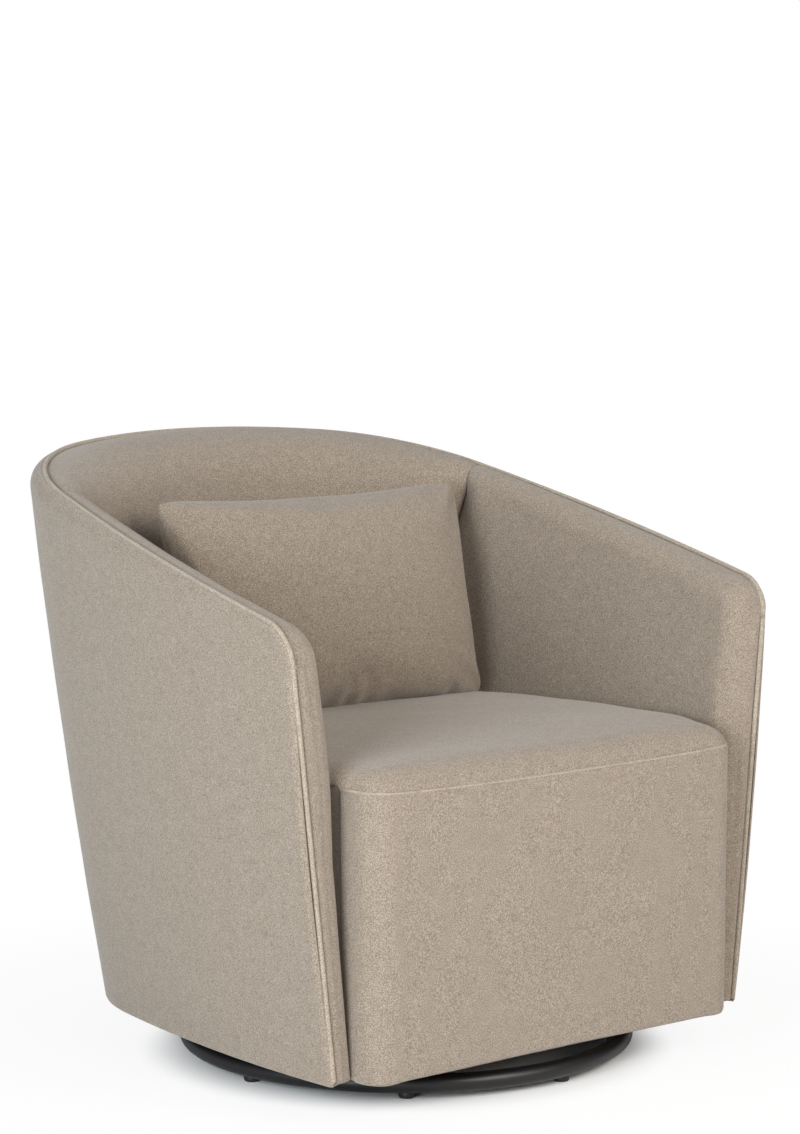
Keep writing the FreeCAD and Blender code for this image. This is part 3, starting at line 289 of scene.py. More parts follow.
# Hem fold, bowed wall, quarter ellipse over the top edge, and a tuck beside the welt. At the arm
# fronts a quarter round turns the wall in towards the welt.
def buildOuterCover():
    way = stations(coverShape["step"])
    angle, rim, end = angleAt(way), rimHeight(way), coverEnd(way)
    tall = coverShape["rollHeight"] + coverShape["rollHeightBack"] * backShare(angle)
    start = tub["hem"] + coverShape["wallStart"]
    insets = [np.full_like(way, inset) for inset in coverShape["hemInsets"]]
    heights = [np.full_like(way, tub["hem"] + lift) for lift in coverShape["hemLifts"]]
    for share in np.linspace(0, 1, coverShape["wallRows"]):
        insets.append(np.full_like(way, -tub["bow"] * 4 * share * (1 - share)))
        heights.append(between(start, rim - tall, share))
    for bend in np.linspace(0, np.pi / 2, coverShape["rollRows"])[1:]:
        insets.append(end * (1 - np.cos(bend)))
        heights.append(rim - tall + tall * np.sin(bend))
    insets += [end + inset for inset in coverShape["tuckInsets"]]
    heights += [rim - drop for drop in coverShape["tuckDrops"]]
    inset, height = np.stack(insets, 1), np.stack(heights, 1)
    fold = quarterDrop(frontWay(way), coverShape["frontFold"])[:, None]
    inset = inset + fold * np.clip(1 - inset / end[:, None], 0, 1)
    points = tubPoint(angle[:, None], height, inset)
    points[..., :2] += outward(angle)[:, None, :] * softWaves(points, coverShape)[..., None]
    piece = addPiece("outerCover", points, gridFaces(*inset.shape, flip=True), "seat_shell", ["outer_cover"])
    thicken(piece, coverShape["gauge"])
    return piece


# Welt
weltShape = {
    "step": 0.006,
    "forward": 0.0006,        # how far it stands out at the arm front
    "lift": 0.0008,           # and above the rim
    "foot": 0.006,            # above the hem
    "postRows": 70,
    "tailBack": (0.014, 0.008, 0.0035, 0.001),               # its end turns under the arm
    "tailLift": (-0.0030, -0.0030, -0.0022, -0.0008),
    "sides": 14,
    "capTurns": (35, 65),     # degrees round its rounded ends
}


# Closed tube along a path: rings of one radius square to the path, with rounded ends. Each ring
# starts on the side that outs points to.
def tubeAlong(path, outs, radius, sides):
    along = np.gradient(path, axis=0)
    along /= np.linalg.norm(along, axis=1)[:, None]
    side = outs - along * (outs * along).sum(-1)[:, None]
    side /= np.linalg.norm(side, axis=1)[:, None]
    up = np.cross(side, along)
    turn = np.linspace(0, 2 * np.pi, sides, endpoint=False)
    ring = side[:, None, :] * np.cos(turn)[None, :, None] + up[:, None, :] * np.sin(turn)[None, :, None]
    body = path[:, None, :] + ring * radius
    bends = np.radians(weltShape["capTurns"])
    caps = [np.stack([path[at] + along[at] * way * radius * np.sin(bend) + ring[at] * radius * np.cos(bend)
                      for bend in bends]) for at, way in ((0, -1), (-1, 1))]
    body = np.concatenate([caps[0][::-1], body, caps[1]])
    poles = np.stack([path[0] - along[0] * radius, path[-1] + along[-1] * radius])
    points = np.concatenate([body.reshape(-1, 3), poles])
    return points, gridFaces(len(body), sides, roundColumns=True), poleFans(len(body), sides)


# Up one arm front, along the rim beside the cover's rolled end, and down the other arm front
def buildWelt():
    radius = tub["weltRadius"]
    way = stations(weltShape["step"])
    angle = angleAt(way)
    inset = coverEnd(way) + radius - tub["weltSink"]
    left = np.clip(1 - frontWay(way) / tub["frontRound"], 0, 1)
    rim = tubPoint(angle, rimHeight(way), inset)
    rim[:, 1] -= weltShape["forward"] * left
    rim[:, 2] += weltShape["lift"] * np.sqrt(1 - left ** 2)
    height = np.linspace(tub["hem"] + weltShape["foot"], rim[0, 2], weltShape["postRows"])[:-1]
    post = tubPoint(np.full_like(height, angle[0]), height, np.full_like(height, inset[0]))
    post[:, 1] -= weltShape["forward"]
    back, up = np.array([weltShape["tailBack"], weltShape["tailLift"]])
    tail = post[0] + np.stack([0 * back, back, up], 1)
    half = np.concatenate([tail, post])
    path = np.concatenate([half, rim, (half * [-1, 1, 1])[::-1]])
    turn = np.concatenate([np.full(len(half), angle[0]), angle, np.full(len(half), angle[-1])])
    outs = np.concatenate([outward(turn), np.zeros((len(turn), 1))], 1)
    points, faces, tris = tubeAlong(path, outs, radius, weltShape["sides"])
    return addPiece("welt", points, faces, "seat_shell", ["welt"], tris=tris)


# Inside pads of the arms and the back
padShape = {
    "armWall": 0.052,           # whole thickness of the arm above the seat
    "armWallHem": 0.0365,
    "armReach": 0.2,            # the pad thins towards the hem up to this far behind the arm front
    "edge": 0.028,              # radius of the arm's inner front edge
    "edgeHem": 0.012,
    "seatLine": 0.3775,
    "backLow": 0.174,           # thickness at the middle of the back, at the seat
    "backTop": 0.128,
    "armSwell": 0.006,
    "backSwell": 0.010,
    "armRoll": 0.034,
    "backRoll": 0.075,
    "rollLimit": 0.72,          # share of the top's width, less the spare, that the roll may take
    "rollSpare": 0.0015,
    "crestFront": 0.0006,       # how far the rolled top stands above the welt
    "crestBack": 0.0050,
    "padLow": 0.2996,           # where the face's slope is counted from
    "lowEnd": 0.33,             # where the pads end, below the seat
    "tuckWidth": 0.0016,        # tuck beside the welt
    "tuckDrop": 0.0042,
    "tuckRows": 5,
    "crownDrop": 0.0006,
    "crownPower": 0.9,
    "crownRows": 10,
    "rollRows": 16,
    "weltGap": 0.0002,
    "gauge": 0.004,
    "unevenness": 0.0009,
    "waveLength": 0.12,
    "waveSeed": 11,
    "waveReach": 0.012,
}
padSeam = {
    "dip": 0.010,           # how far the cloth is drawn in at the seam of arm and back
    "width": 0.0085,
    "power": 1.3,           # the lower, the sharper the dip
    "topShare": 0.25,       # share of the dip that shows on the rolled top
    "topDepth": 0.035,
    "lean": 0.045,          # how much further back the seam lies below the rim
    "leanDepth": 0.16,
    "leanReach": 0.09,
    "armLip": 0.0012,
    "backLip": 0.0050,
    "lipAt": 0.028,
    "lipWidth": 0.016,
    "gap": 0.0002,
    "steps": (0, 0.001, 0.0025, 0.005, 0.008, 0.012, 0.016),      # stations beside the seam
}


# Thickness where the inside back is a shallow bow in plan, from the arm seam through its middle: the
# root of the quadratic that a line along the outward direction makes with that parabola
def backWall(angle, height, middle):
    angle, height, middle = np.broadcast_arrays(angle, height, middle)
    seamTurn = np.full_like(height, np.radians(tub["seam"]))
    seam = tubPoint(seamTurn, height, np.full_like(height, padShape["armWall"]))
    centre = tubPoint(np.full_like(height, np.pi / 2), height, middle)
    turn = np.clip(np.minimum(angle, np.pi - angle), np.radians(tub["seam"]), np.pi / 2)
    point = tubPoint(turn, height, np.zeros_like(height))
    out = outward(turn)
    bow = (centre[..., 1] - seam[..., 1]) / seam[..., 0] ** 2
    first = bow * out[..., 0] ** 2
    second = 2 * bow * point[..., 0] * out[..., 0] + out[..., 1]
    third = point[..., 1] - centre[..., 1] + bow * point[..., 0] ** 2
    return 2 * third / (second + np.sqrt(second ** 2 - 4 * first * third))


# 0 on the arms, and behind the seam quickly up to 1 at the middle of the back: one less the cube of
# the share that is left
def fullness(angle):
    turn = np.minimum(angle, np.pi - angle)
    share = np.clip((turn - np.radians(tub["seam"])) / (np.pi / 2 - np.radians(tub["seam"])), 0, 1)
    return 1 - (1 - share) ** 3


# Section of a pad at each station: a tuck beside the welt, a crown, a fillet between the top and the
# inner face, and the face down to its low end. Columns are inset and height.
def padSection(way, lowEnd, faceRows):
    pad = padShape
    angle, rim, near = angleAt(way), rimHeight(way), frontWay(way)
    start = coverEnd(way) + 2 * (tub["weltRadius"] - tub["weltSink"]) + pad["weltGap"]
    full = fullness(angle)
    crest = rim + between(pad["crestFront"], pad["crestBack"], backShare(angle))
    pull = quarterDrop(near, pad["edge"])
    topWall = backWall(angle, rim, pad["backTop"]) - pull
    lowWall = backWall(angle, np.full_like(rim, pad["padLow"]), pad["backLow"]) - pull
    swell = between(pad["armSwell"], pad["backSwell"], full)
    span = crest - pad["padLow"]
    steep = (lowWall - topWall + 4 * swell) / span     # how much the face leans, at its top
    radius = between(pad["armRoll"], pad["backRoll"], full)
    lean = np.arctan2(steep, 1)
    reach = 1 / np.tan((np.pi / 2 + lean) / 2)
    crownStart = start + pad["tuckWidth"]
    radius = np.minimum(radius, pad["rollLimit"] * (topWall - start - pad["rollSpare"]) / reach)
    crownEnd = topWall - radius * reach
    insets, heights = [], []
    for bend in np.linspace(0, np.pi / 2, pad["tuckRows"]):
        insets.append(start + pad["tuckWidth"] * (1 - np.cos(bend)))
        heights.append(rim - between(pad["tuckDrop"], pad["crownDrop"], np.sin(bend)))
    for share in np.linspace(0, 1, pad["crownRows"])[1:]:
        grown = np.sin(share * np.pi / 2) ** pad["crownPower"]
        insets.append(between(crownStart, crownEnd, share))
        heights.append(between(rim - pad["crownDrop"], crest, grown))
    for share in np.linspace(0, 1, pad["rollRows"])[1:]:
        bend = between(np.pi / 2, lean, share)
        insets.append(crownEnd + radius * np.cos(bend))
        heights.append(crest - radius + radius * np.sin(bend))
    faceTop, faceInset = heights[-1], insets[-1]

    # a straight line from the seat to the top, swollen by a parabola and slimmer towards the hem
    def faceAt(height):
        share = np.clip((height - pad["padLow"]) / span, 0, 1)
        below = np.clip((pad["seatLine"] - height) / (pad["seatLine"] - tub["hem"]), 0, 1)
        arm = below * (pad["armWall"] - pad["armWallHem"]) * (near < pad["armReach"])
        slim = quarterDrop(near, between(pad["edge"], pad["edgeHem"], below)) - pull
        return between(lowWall, topWall, share) + swell * 4 * share * (1 - share) - arm - slim

    error = faceInset - faceAt(faceTop)
    for share in np.linspace(0, 1, faceRows)[1:]:
        height = between(faceTop, lowEnd, share)
        insets.append(faceAt(height) + error * (1 - share) ** 3)
        heights.append(height)
    return np.stack(insets, 1), np.stack(heights, 1)


# The seam between arm and back draws the cloth in by a narrow bell of the distance from it, less a
# wider bell on each side, a soft lip that is fuller on the back pad
def seamDraw(way):
    off = frontWay(way) - seamWay
    dip = padSeam["dip"] * np.exp(-(np.abs(off) / padSeam["width"]) ** padSeam["power"])
    lip = np.where(off > 0, padSeam["backLip"], padSeam["armLip"])
    return dip - lip * np.exp(-((np.abs(off) - padSeam["lipAt"]) / padSeam["lipWidth"]) ** 2)


# Lower down the seam lies further back: stations are carried along the wall by a smooth step of the
# depth, times a bell of their distance from the seam
def seamLean(way, height):
    below = np.clip((rimHeight(way)[:, None] - height) / padSeam["leanDepth"], 0, 1)
    near = np.exp(-((frontWay(way) - seamWay) / padSeam["leanReach"]) ** 2) * np.where(way > halfWay, -1, 1)
    return way[:, None] + padSeam["lean"] * smooth(below) * near[:, None]


# Points of a pad from its section: leant and drawn in at the seam, and a little uneven
def padPoints(way, inset, height):
    angle = angleAt(seamLean(way, height))
    draw = seamDraw(way)[:, None]
    depth = np.clip((rimHeight(way)[:, None] - height) / padSeam["topDepth"], 0, 1)
    grown = np.clip((inset - inset[:, :1]) / padShape["waveReach"], 0, 1)
    inset = inset - draw * depth
    height = height - draw * (1 - depth) * grown * padSeam["topShare"]
    points = tubPoint(angle, height, inset)
    points[..., :2] -= outward(angle) * (softWaves(points, padShape) * grown)[..., None]
    return points


armShape = {
    "closeWay": 0.05,
    "closeCount": 22,
    "firstStep": 0.056,
    "step": 0.007,
    "spare": 0.02,             # the even steps end this far from the seam
    "faceRows": 90,
    "hemLift": 0.0015,
    "hemFrom": 0.03,           # behind the front the low end rises from the hem to below the seat
    "hemOver": 0.05,
    "frontRows": 8,
    "frontTop": 0.002,         # the front face ends this far below the rim
    "frontSwell": 0.0022,
    "swellPower": 0.7,
    "frontTuck": 0.0035,       # its edge dips beside the welt
    "tuckFrom": 0.86,          # from this share of the way to the welt
    "underBack": 0.006,        # the low end turns under the hem
    "underLift": 0.0012,
}


# Inside arm: sections from the arm front to the seam, with the front face filled in up to the welt.
# The left arm is worked out, and the right one is its mirror image.
def buildArm(side, node):
    arm = armShape
    end = seamWay - padSeam["gap"]
    way = np.concatenate([closeAtStart(arm["closeWay"], arm["closeCount"]),
                          np.arange(arm["firstStep"], end - arm["spare"], arm["step"]),
                          end - np.array(padSeam["steps"][::-1])])
    near = np.clip((way - arm["hemFrom"]) / arm["hemOver"], 0, 1)
    lowEnd = tub["hem"] + arm["hemLift"] + (padShape["lowEnd"] - tub["hem"]) * smooth(near)
    inset, height = padSection(way, lowEnd, arm["faceRows"])
    points = padPoints(way, inset, height)
    lineHeight = np.minimum(height[0], rimHeight(way[:1])[0] - arm["frontTop"])
    rows = []
    for share in np.linspace(1, 0, arm["frontRows"], endpoint=False):
        z = between(height[0], lineHeight, share)
        row = tubPoint(np.full_like(z, angleAt(way[0])), z, between(inset[0], inset[0, 0], share))
        row[:, 1] -= arm["frontSwell"] * np.sin(np.pi * share) ** arm["swellPower"]
        row[:, 1] += arm["frontTuck"] * np.clip((share - arm["tuckFrom"]) / (1 - arm["tuckFrom"]), 0, 1)
        rows.append(row)
    points = np.concatenate([np.stack(rows), points])
    under = points[:, -1:, :] + [0, arm["underBack"], arm["underLift"]]
    points = np.concatenate([points, under], 1) * [side, 1, 1]
    piece = addPiece("insideArm" + ("Left" if side > 0 else "Right"), points,
                     gridFaces(*points.shape[:2], flip=side < 0), "seat_shell", [node])
    thicken(piece, padShape["gauge"])
    return piece


backShape = {"firstStep": 0.022, "lastStep": 0.018, "step": 0.0075, "faceRows": 80}


# Inside back: the same sections from seam to seam
def buildBack():
    start, end = seamWay + padSeam["gap"], wholeWay - seamWay - padSeam["gap"]
    ease = np.array(padSeam["steps"])
    middle = np.arange(start + backShape["firstStep"], end - backShape["lastStep"], backShape["step"])
    way = np.concatenate([start + ease, middle, end - ease[::-1]])
    inset, height = padSection(way, np.full_like(way, padShape["lowEnd"]), backShape["faceRows"])
    points = padPoints(way, inset, height)
    piece = addPiece("insideBack", points, gridFaces(*points.shape[:2]), "seat_shell", ["inside_back"])
    thicken(piece, padShape["gauge"])
    return piece


# Seat and front panel
seatShape = {
    "seam": 0.3775,
    "edge": 0.0255,           # how far the crown's edge stands above the seam
    "rise": 0.0130,           # and its middle above the edge
    "backDrop": 0.0175,
    "halfWidth": 0.312,
    "halfDepth": 0.300,
    "widthPower": 4.6,        # the higher, the flatter the middle and the steeper the sides
    "depthPower": 3.2,
    "forward": 0.010,
    "bottom": 0.345,
    "frontRoll": 0.034,
    "sideRoll": 0.036,
    "sideDrop": 0.019,
    "frontFrom": -0.225,      # the front roll takes over from the side roll ahead of this
    "frontOver": 0.03,
    "lineGap": 0.0004,
    "centre": (0.0, -0.012),
    "padFrom": 0.035,         # the pads give the plan line from this far behind the arm front
    "padLevel": 0.388,
    "padStations": 260,
    "padRows": 120,
    "press": 0.004,           # how far the seat presses into the pads
    "seamFollow": 0.4,        # share of the pad seam's dip that it follows
    "ringPoints": 380,
    "easeFrom": -0.252,
    "easeOver": 0.02,
    "easeTurns": 40,
    "firstShare": 0.02,       # rings lie evenly from this share of the way out to the next
    "evenShare": 0.86,
    "evenRings": 46,
    "closeRings": 22,
    "underInset": 0.004,
    "underDrop": 0.003,
    "underSeam": 0.001,
    "baseInset": 0.012,
    "poleLift": 0.00002,
    "unevenness": 0.0010,
    "waveLength": 0.15,
    "waveSeed": 8,
    "waveAbove": 0.37,
}
panelShape = {
    "front": 0.285,
    "bow": 0.004,
    "corner": 0.032,
    "cornerPoints": 14,
    "returnPoints": 10,
    "frontPoints": 90,
    "halfLow": 0.286,
    "halfTop": 0.2885,
    "back": 0.224,
    "foldLifts": (0.0035, 0.0018, 0.0006, 0.0016),     # the lower edge is folded under
    "foldInsets": (0.014, 0.008, 0.0035, 0.0008),
    "topDrops": (0.0022, 0.0008, 0.0006),              # the top edge turns in to the seam
    "topInsets": (0.0006, 0.0022, 0.0048),
    "faceLift": 0.004,
    "faceDrop": 0.0045,
    "faceRows": 60,
    "middleLift": 0.0025,     # the lower edge is drawn up in the middle and hangs at the corners
    "middleWidth": 0.2,
    "cornerHang": 0.002,
    "cornerAt": 0.268,
    "cornerWidth": 0.022,
    "cornerFront": -0.25,
    "liftReach": 0.05,
    "cornerRise": 0.004,      # the seam rises towards the corners
    "riseHalf": 0.29,
    "riseFrom": 0.30,
    "gauge": 0.003,
    "unevenness": 0.0006,
    "waveLength": 0.13,
    "waveSeed": 5,
}


# Rise of the seam between seat and panel: a fourth power of the share across
def cornerRise(x):
    return panelShape["cornerRise"] * np.abs(x / panelShape["riseHalf"]) ** 4


# Half width of the panel: straight from the hem to the seam
def panelHalf(z):
    share = (z - tub["hem"]) / (seatShape["seam"] - tub["hem"])
    return between(panelShape["halfLow"], panelShape["halfTop"], share)


# Plan line of the seat's front and the panel, from right to left: return, quarter round corner, bow
# of one minus the square of the share across, and the same mirrored
def frontLine(half, setIn=0.0):
    panel = panelShape
    radius, cornerY = panel["corner"] - setIn, panel["corner"] - panel["front"]
    turn = np.linspace(0, np.pi / 2, panel["cornerPoints"])
    returnY = np.linspace(-panel["back"], cornerY, panel["returnPoints"])[:-1]
    sideX = np.concatenate([np.full_like(returnY, radius), radius * np.cos(turn)])
    sideY = np.concatenate([returnY, cornerY - radius * np.sin(turn)])
    across = np.linspace(1, -1, panel["frontPoints"])[1:-1]
    share = np.concatenate([np.ones_like(sideX), across, -np.ones_like(sideX)])
    x = np.concatenate([sideX, 0 * across, -sideX[::-1]]) + share * (half - panel["corner"])
    y = np.concatenate([sideY, 0 * across + setIn - panel["front"], sideY[::-1]])
    return np.stack([x, y - panel["bow"] * (1 - share ** 2)], -1)


# The panel: its plan line at each height, with the lower edge folded under and the top turned in.
# A bell lifts the lower edge in the middle, and one at each corner lets it hang.
def buildPanel():
    panel = panelShape
    hem, seam = tub["hem"], seatShape["seam"]
    face = np.linspace(hem + panel["faceLift"], seam - panel["faceDrop"], panel["faceRows"])
    heights = np.concatenate([hem + np.array(panel["foldLifts"]), face, seam - np.array(panel["topDrops"])])
    insets = np.concatenate([panel["foldInsets"], 0 * face, panel["topInsets"]])
    rows = []
    for z, inset in zip(heights, insets):
        flat = frontLine(panelHalf(z), inset)
        corner = np.exp(-((np.abs(flat[:, 0]) - panel["cornerAt"]) / panel["cornerWidth"]) ** 2)
        hang = panel["cornerHang"] * corner * (flat[:, 1] < panel["cornerFront"])
        lift = panel["middleLift"] * np.exp(-(flat[:, 0] / panel["middleWidth"]) ** 2) - hang
        low = np.clip(1 - (z - hem) / panel["liftReach"], 0, 1)
        high = np.clip((z - panel["riseFrom"]) / (seam - panel["riseFrom"]), 0, 1)
        rows.append(np.column_stack([flat, z + lift * low + cornerRise(flat[:, 0]) * high]))
    points = np.stack(rows)
    points[..., 1] -= softWaves(points, panel)
    piece = addPiece("frontPanel", points, gridFaces(*points.shape[:2], flip=True), "seat_shell",
                     ["front_panel", "front_foam"])
    thicken(piece, panel["gauge"])
    return piece


shadedLiningShape = {
    "y": -0.2295,
    "foot": 0.004,            # above the hem
    "top": 0.008,             # above the seam
    "rows": 12,
    "lap": 0.002,             # how far it laps behind the panel
    "widthLow": 0.012,
    "widthTop": 0.028,
    "gauge": 0.0008,
    # painted shade: the felt's tones darkened for the deep crevice beside each arm
    "tones": {"dark": "#3F382F", "middle": "#484036", "light": "#52493E", "deep": "#362F27"},
}


# Lining that closes the gap beside each arm behind the panel: one flat strip a side, from the panel's return
# to inside the arm, as high as the panel. It stands for the cover cloth tucked in there, and its colour, far
# darker than the felt, is painted shade of the deep crevice.
def buildShadedLining():
    shadedLining = shadedLiningShape
    z = np.linspace(tub["hem"] + shadedLining["foot"], seatShape["seam"] + shadedLining["top"], shadedLining["rows"])
    share = (z - tub["hem"]) / (seatShape["seam"] - tub["hem"])
    inner = panelHalf(z) - shadedLining["lap"]
    outer = inner + between(shadedLining["widthLow"], shadedLining["widthTop"], share)
    y = np.full_like(z, shadedLining["y"])
    strip = np.stack([np.stack([inner, y, z], 1), np.stack([outer, y, z], 1)], 1)
    faces = gridFaces(len(z), 2)
    both = np.concatenate([faces, faces[:, ::-1] + len(z) * 2])
    piece = addPiece("creviceLiningPaintedShade", np.concatenate([strip, strip * [-1, 1, 1]]), both, "seat_shell")
    thicken(piece, shadedLining["gauge"])
    return piece


beadShape = {
    "radius": 0.0016,
    "sides": 8,
    "forward": 0.0006,
    "lift": 0.0003,
    "back": -0.232,           # where it ends on the panel's returns
    "middle": (0, -0.05),     # its rings are turned away from here
}


# Raised seam between seat and panel: a thin bead, the same tube along the panel's top edge
def buildSeatSeam():
    flat = frontLine(panelShape["halfTop"], -beadShape["forward"])
    flat = flat[flat[:, 1] < beadShape["back"]]
    z = seatShape["seam"] + beadShape["lift"] + cornerRise(flat[:, 0])
    outs = np.column_stack([flat - beadShape["middle"], 0 * z])
    points, faces, tris = tubeAlong(np.column_stack([flat, z]), outs, beadShape["radius"], beadShape["sides"])
    return addPiece("seatSeam", points, faces, "seat_shell", tris=tris)


# Plan line of the seat: the panel's line in front and the pads' faces round the rest, as points at
# even steps. Behind the panel each point moves to its neighbours' mean, over and over, so that the
# step from the panel's return to the pads is eased.
def seatRing():
    seat = seatShape
    way = np.linspace(seat["padFrom"], wholeWay - seat["padFrom"], seat["padStations"])
    inset, height = padSection(way, np.full_like(way, padShape["lowEnd"]), seat["padRows"])
    wall = np.array([np.interp(seat["padLevel"], h[::-1], i[::-1]) for i, h in zip(inset, height)])
    pressed = wall - seamDraw(way) * seat["seamFollow"] - seat["press"]
    inner = tubPoint(angleAt(way), np.full_like(way, seat["padLevel"]), pressed)[:, :2]
    front = frontLine(panelShape["halfTop"])[::-1]
    loop = np.concatenate([front, inner, front[:1]])
    steps = np.concatenate([[0], np.cumsum(np.linalg.norm(np.diff(loop, axis=0), axis=1))])
    even = np.linspace(0, steps[-1], seat["ringPoints"], endpoint=False)
    ring = np.stack([np.interp(even, steps, line) for line in loop.T], 1)
    behind = np.clip((ring[:, 1:] - seat["easeFrom"]) / seat["easeOver"], 0, 1)
    for _ in range(seat["easeTurns"]):
        ring = ring + behind * ((np.roll(ring, 1, axis=0) + np.roll(ring, -1, axis=0)) / 2 - ring) * 0.5
    return ring


# Seat: its plan line drawn in towards the middle in rings. Height is a crown, one less a high power
# of the share across times the same in depth, with a quarter roll at the edge. A flat base closes it.
def buildSeat():
    seat = seatShape
    ring = seatRing()
    centre = np.array(seat["centre"])
    arm = ring - centre
    along = np.roll(ring, -1, axis=0) - np.roll(ring, 1, axis=0)
    reach = np.abs(arm[:, 0] * along[:, 1] - arm[:, 1] * along[:, 0]) / np.linalg.norm(along, axis=1)
    isFront = np.clip((seat["frontFrom"] - ring[:, 1]) / seat["frontOver"], 0, 1)
    roll = between(seat["sideRoll"], seat["frontRoll"], isFront)
    even = np.linspace(seat["firstShare"], seat["evenShare"], seat["evenRings"])
    close = between(seat["evenShare"], 1, np.sin(np.linspace(0, np.pi / 2, seat["closeRings"])))
    rows = []
    for share in np.concatenate([even, close[1:]]):
        flat = centre + arm * share
        across = np.clip(np.abs(flat[:, 0] / seat["halfWidth"]), 0, 1)
        back = (flat[:, 1] + seat["forward"]) / seat["halfDepth"]
        full = 1 - np.clip(np.abs(back), 0, 1) ** seat["depthPower"]
        full = (1 - across ** seat["widthPower"]) * full
        z = seat["seam"] + seat["edge"] + seat["rise"] * full - seat["backDrop"] * ((1 + back) / 2) ** 3
        line = seat["seam"] + seat["lineGap"] + cornerRise(flat[:, 0])
        deep = between(seat["sideDrop"], z - line, isFront)
        rows.append(np.column_stack([flat, z - deep * quarterDrop(reach * (1 - share) / roll, 1)]))
    foot = np.minimum(rows[-1][:, 2] - seat["underDrop"], seat["seam"] - seat["underSeam"])
    base = np.full_like(foot, seat["bottom"])
    for inset, z in ((seat["underInset"], foot), (seat["baseInset"], base)):
        rows.append(np.column_stack([centre + arm * (1 - inset / reach)[:, None], z]))
    points = np.stack(rows)
    points[..., 2] += softWaves(points, seat) * (points[..., 2] > seat["waveAbove"])
    poles = np.array([[*centre, points[0, :, 2].mean() + seat["poleLift"]], [*centre, seat["bottom"]]])
    piece = addPiece("seatCushion", np.concatenate([points.reshape(-1, 3), poles]),
                     gridFaces(*points.shape[:2], roundColumns=True), "seat_shell", ["seat_cushion"],
                     tris=poleFans(*points.shape[:2]))
    return piece


# Lumbar pillow
pillowShape = {
    "width": 0.484,
    "height": 0.288,
    "thick": 0.124,
    "lean": 12.0,            # degrees back from upright
    "centre": (0.018, 0.182, 0.5345),
    "columns": 84,
    "rows": 52,
    "sidePower": 3.4,        # how full the lens stays towards its sides, top and lower edge
    "topPower": 3.4,
    "lowPower": 6.0,
    "lensPower": 0.66,
    "sag": 0.16,             # how much lower than the middle the filling lies, of the half height
    "drawnIn": 0.020,        # how far the top's middle lies inside its corners, of the half size
    "drawnInSides": 2.6,     # the same at the sides and the lower edge, as a share of the top's
    "drawnInLow": 0.1,
    "cornerRound": 0.045,
    "cornerPower": 10,
    "crumple": 0.0050,       # depth of the dents along the lower edge
    "crumpleReach": 0.13,    # how far up they reach, of the half height
    "crumpleFull": 0.012,    # they are full where the lens is this thick
    "dentWaves": 29,         # waves to the half width, in radians
    "dentWander": (3, 7),    # how far their spacing wanders, and how often
    "dentSwell": (0.55, 0.45, 11),      # least depth as a share, what comes and goes, and how often
    "folds": 0.55,           # depth of the folds that run out of each corner, as a share of the dents'
    "foldReach": 0.10,
    "foldFlat": 0.6,         # how flat their fan is
    "foldCount": 7,
    "startShare": 0.8,       # thickness before the filling, as a share
    "mostMoved": 0.010,      # the filling carries no point further than this
    "frames": 16,
}
pillowCloth = {
    "quality": 8,
    "mass": 0.15,
    "tension_stiffness": 60,
    "compression_stiffness": 40,
    "shear_stiffness": 20,
    "bending_stiffness": 0.5,
    "use_pressure": True,
    "uniform_pressure_force": 3.0,
}


# Two sheets sewn along their edges. Unsimulated they stand apart as a lens: one minus a power of the
# share across, times the same up and down. Waves along the lower edge and fans of waves round the
# corners dent it.
def pillowSheets(thick):
    p = pillowShape
    u, v = np.meshgrid(np.linspace(-1, 1, p["columns"]), np.linspace(-1, 1, p["rows"]), indexing="ij")
    low = v + p["sag"] * (1 - v ** 2)
    tall = 1 - np.abs(low) ** np.where(low < 0, p["lowPower"], p["topPower"])
    depth = ((1 - np.abs(u) ** p["sidePower"]) * tall) ** p["lensPower"] * thick / 2
    wander, wanderOften = p["dentWander"]
    least, swell, swellOften = p["dentSwell"]
    dents = np.sin(p["dentWaves"] * u + wander * np.sin(wanderOften * u))
    dents = dents * (least + swell * np.sin(swellOften * u + 1))
    dents = np.exp(-((1 + v) / p["crumpleReach"]) ** 2) * dents
    du, dv = 1 - np.abs(u), (1 - np.abs(v)) * p["foldFlat"]
    fan = np.sin(p["foldCount"] * np.arctan2(dv, du + 1e-6) + 2 * np.sign(u) + np.sign(v))
    away = np.hypot(du, dv) / p["foldReach"]
    folds = fan * away * np.exp(1 - away)
    shown = (depth > 0) * np.clip(depth / p["crumpleFull"], 0, 1)
    depth = depth + p["crumple"] * (dents + p["folds"] * folds) * shown
    blunt = 1 - p["cornerRound"] * (u * v) ** p["cornerPower"]
    sides = 1 - p["drawnIn"] * p["drawnInSides"] * (1 - v ** 2)
    ends = 1 - p["drawnIn"] * (1 - u ** 2) * np.where(v > 0, 1, p["drawnInLow"])
    x, z = u * p["width"] / 2 * sides * blunt, v * p["height"] / 2 * ends * blunt
    return np.stack([x, -depth, z], -1), np.stack([x, depth, z], -1)


# Joins the two sheets: the back one takes the front one's edge points in place of its own
def sewSheets(front, back):
    shape = front.shape[:2]
    edge = np.zeros(shape, bool)
    edge[[0, -1], :] = True
    edge[:, [0, -1]] = True
    frontIds = np.arange(shape[0] * shape[1]).reshape(shape)
    backIds = frontIds.copy()
    backIds[~edge] = frontIds.size + np.arange((~edge).sum())
    points = np.concatenate([front.reshape(-1, 3), back[~edge]])
    faces = np.concatenate([
        np.stack([ids[:-1, :-1], ids[1:, :-1], ids[1:, 1:], ids[:-1, 1:]], -1).reshape(-1, 4)[:, ::way]
        for ids, way in ((frontIds, 1), (backIds, -1))
    ])
    return points, faces


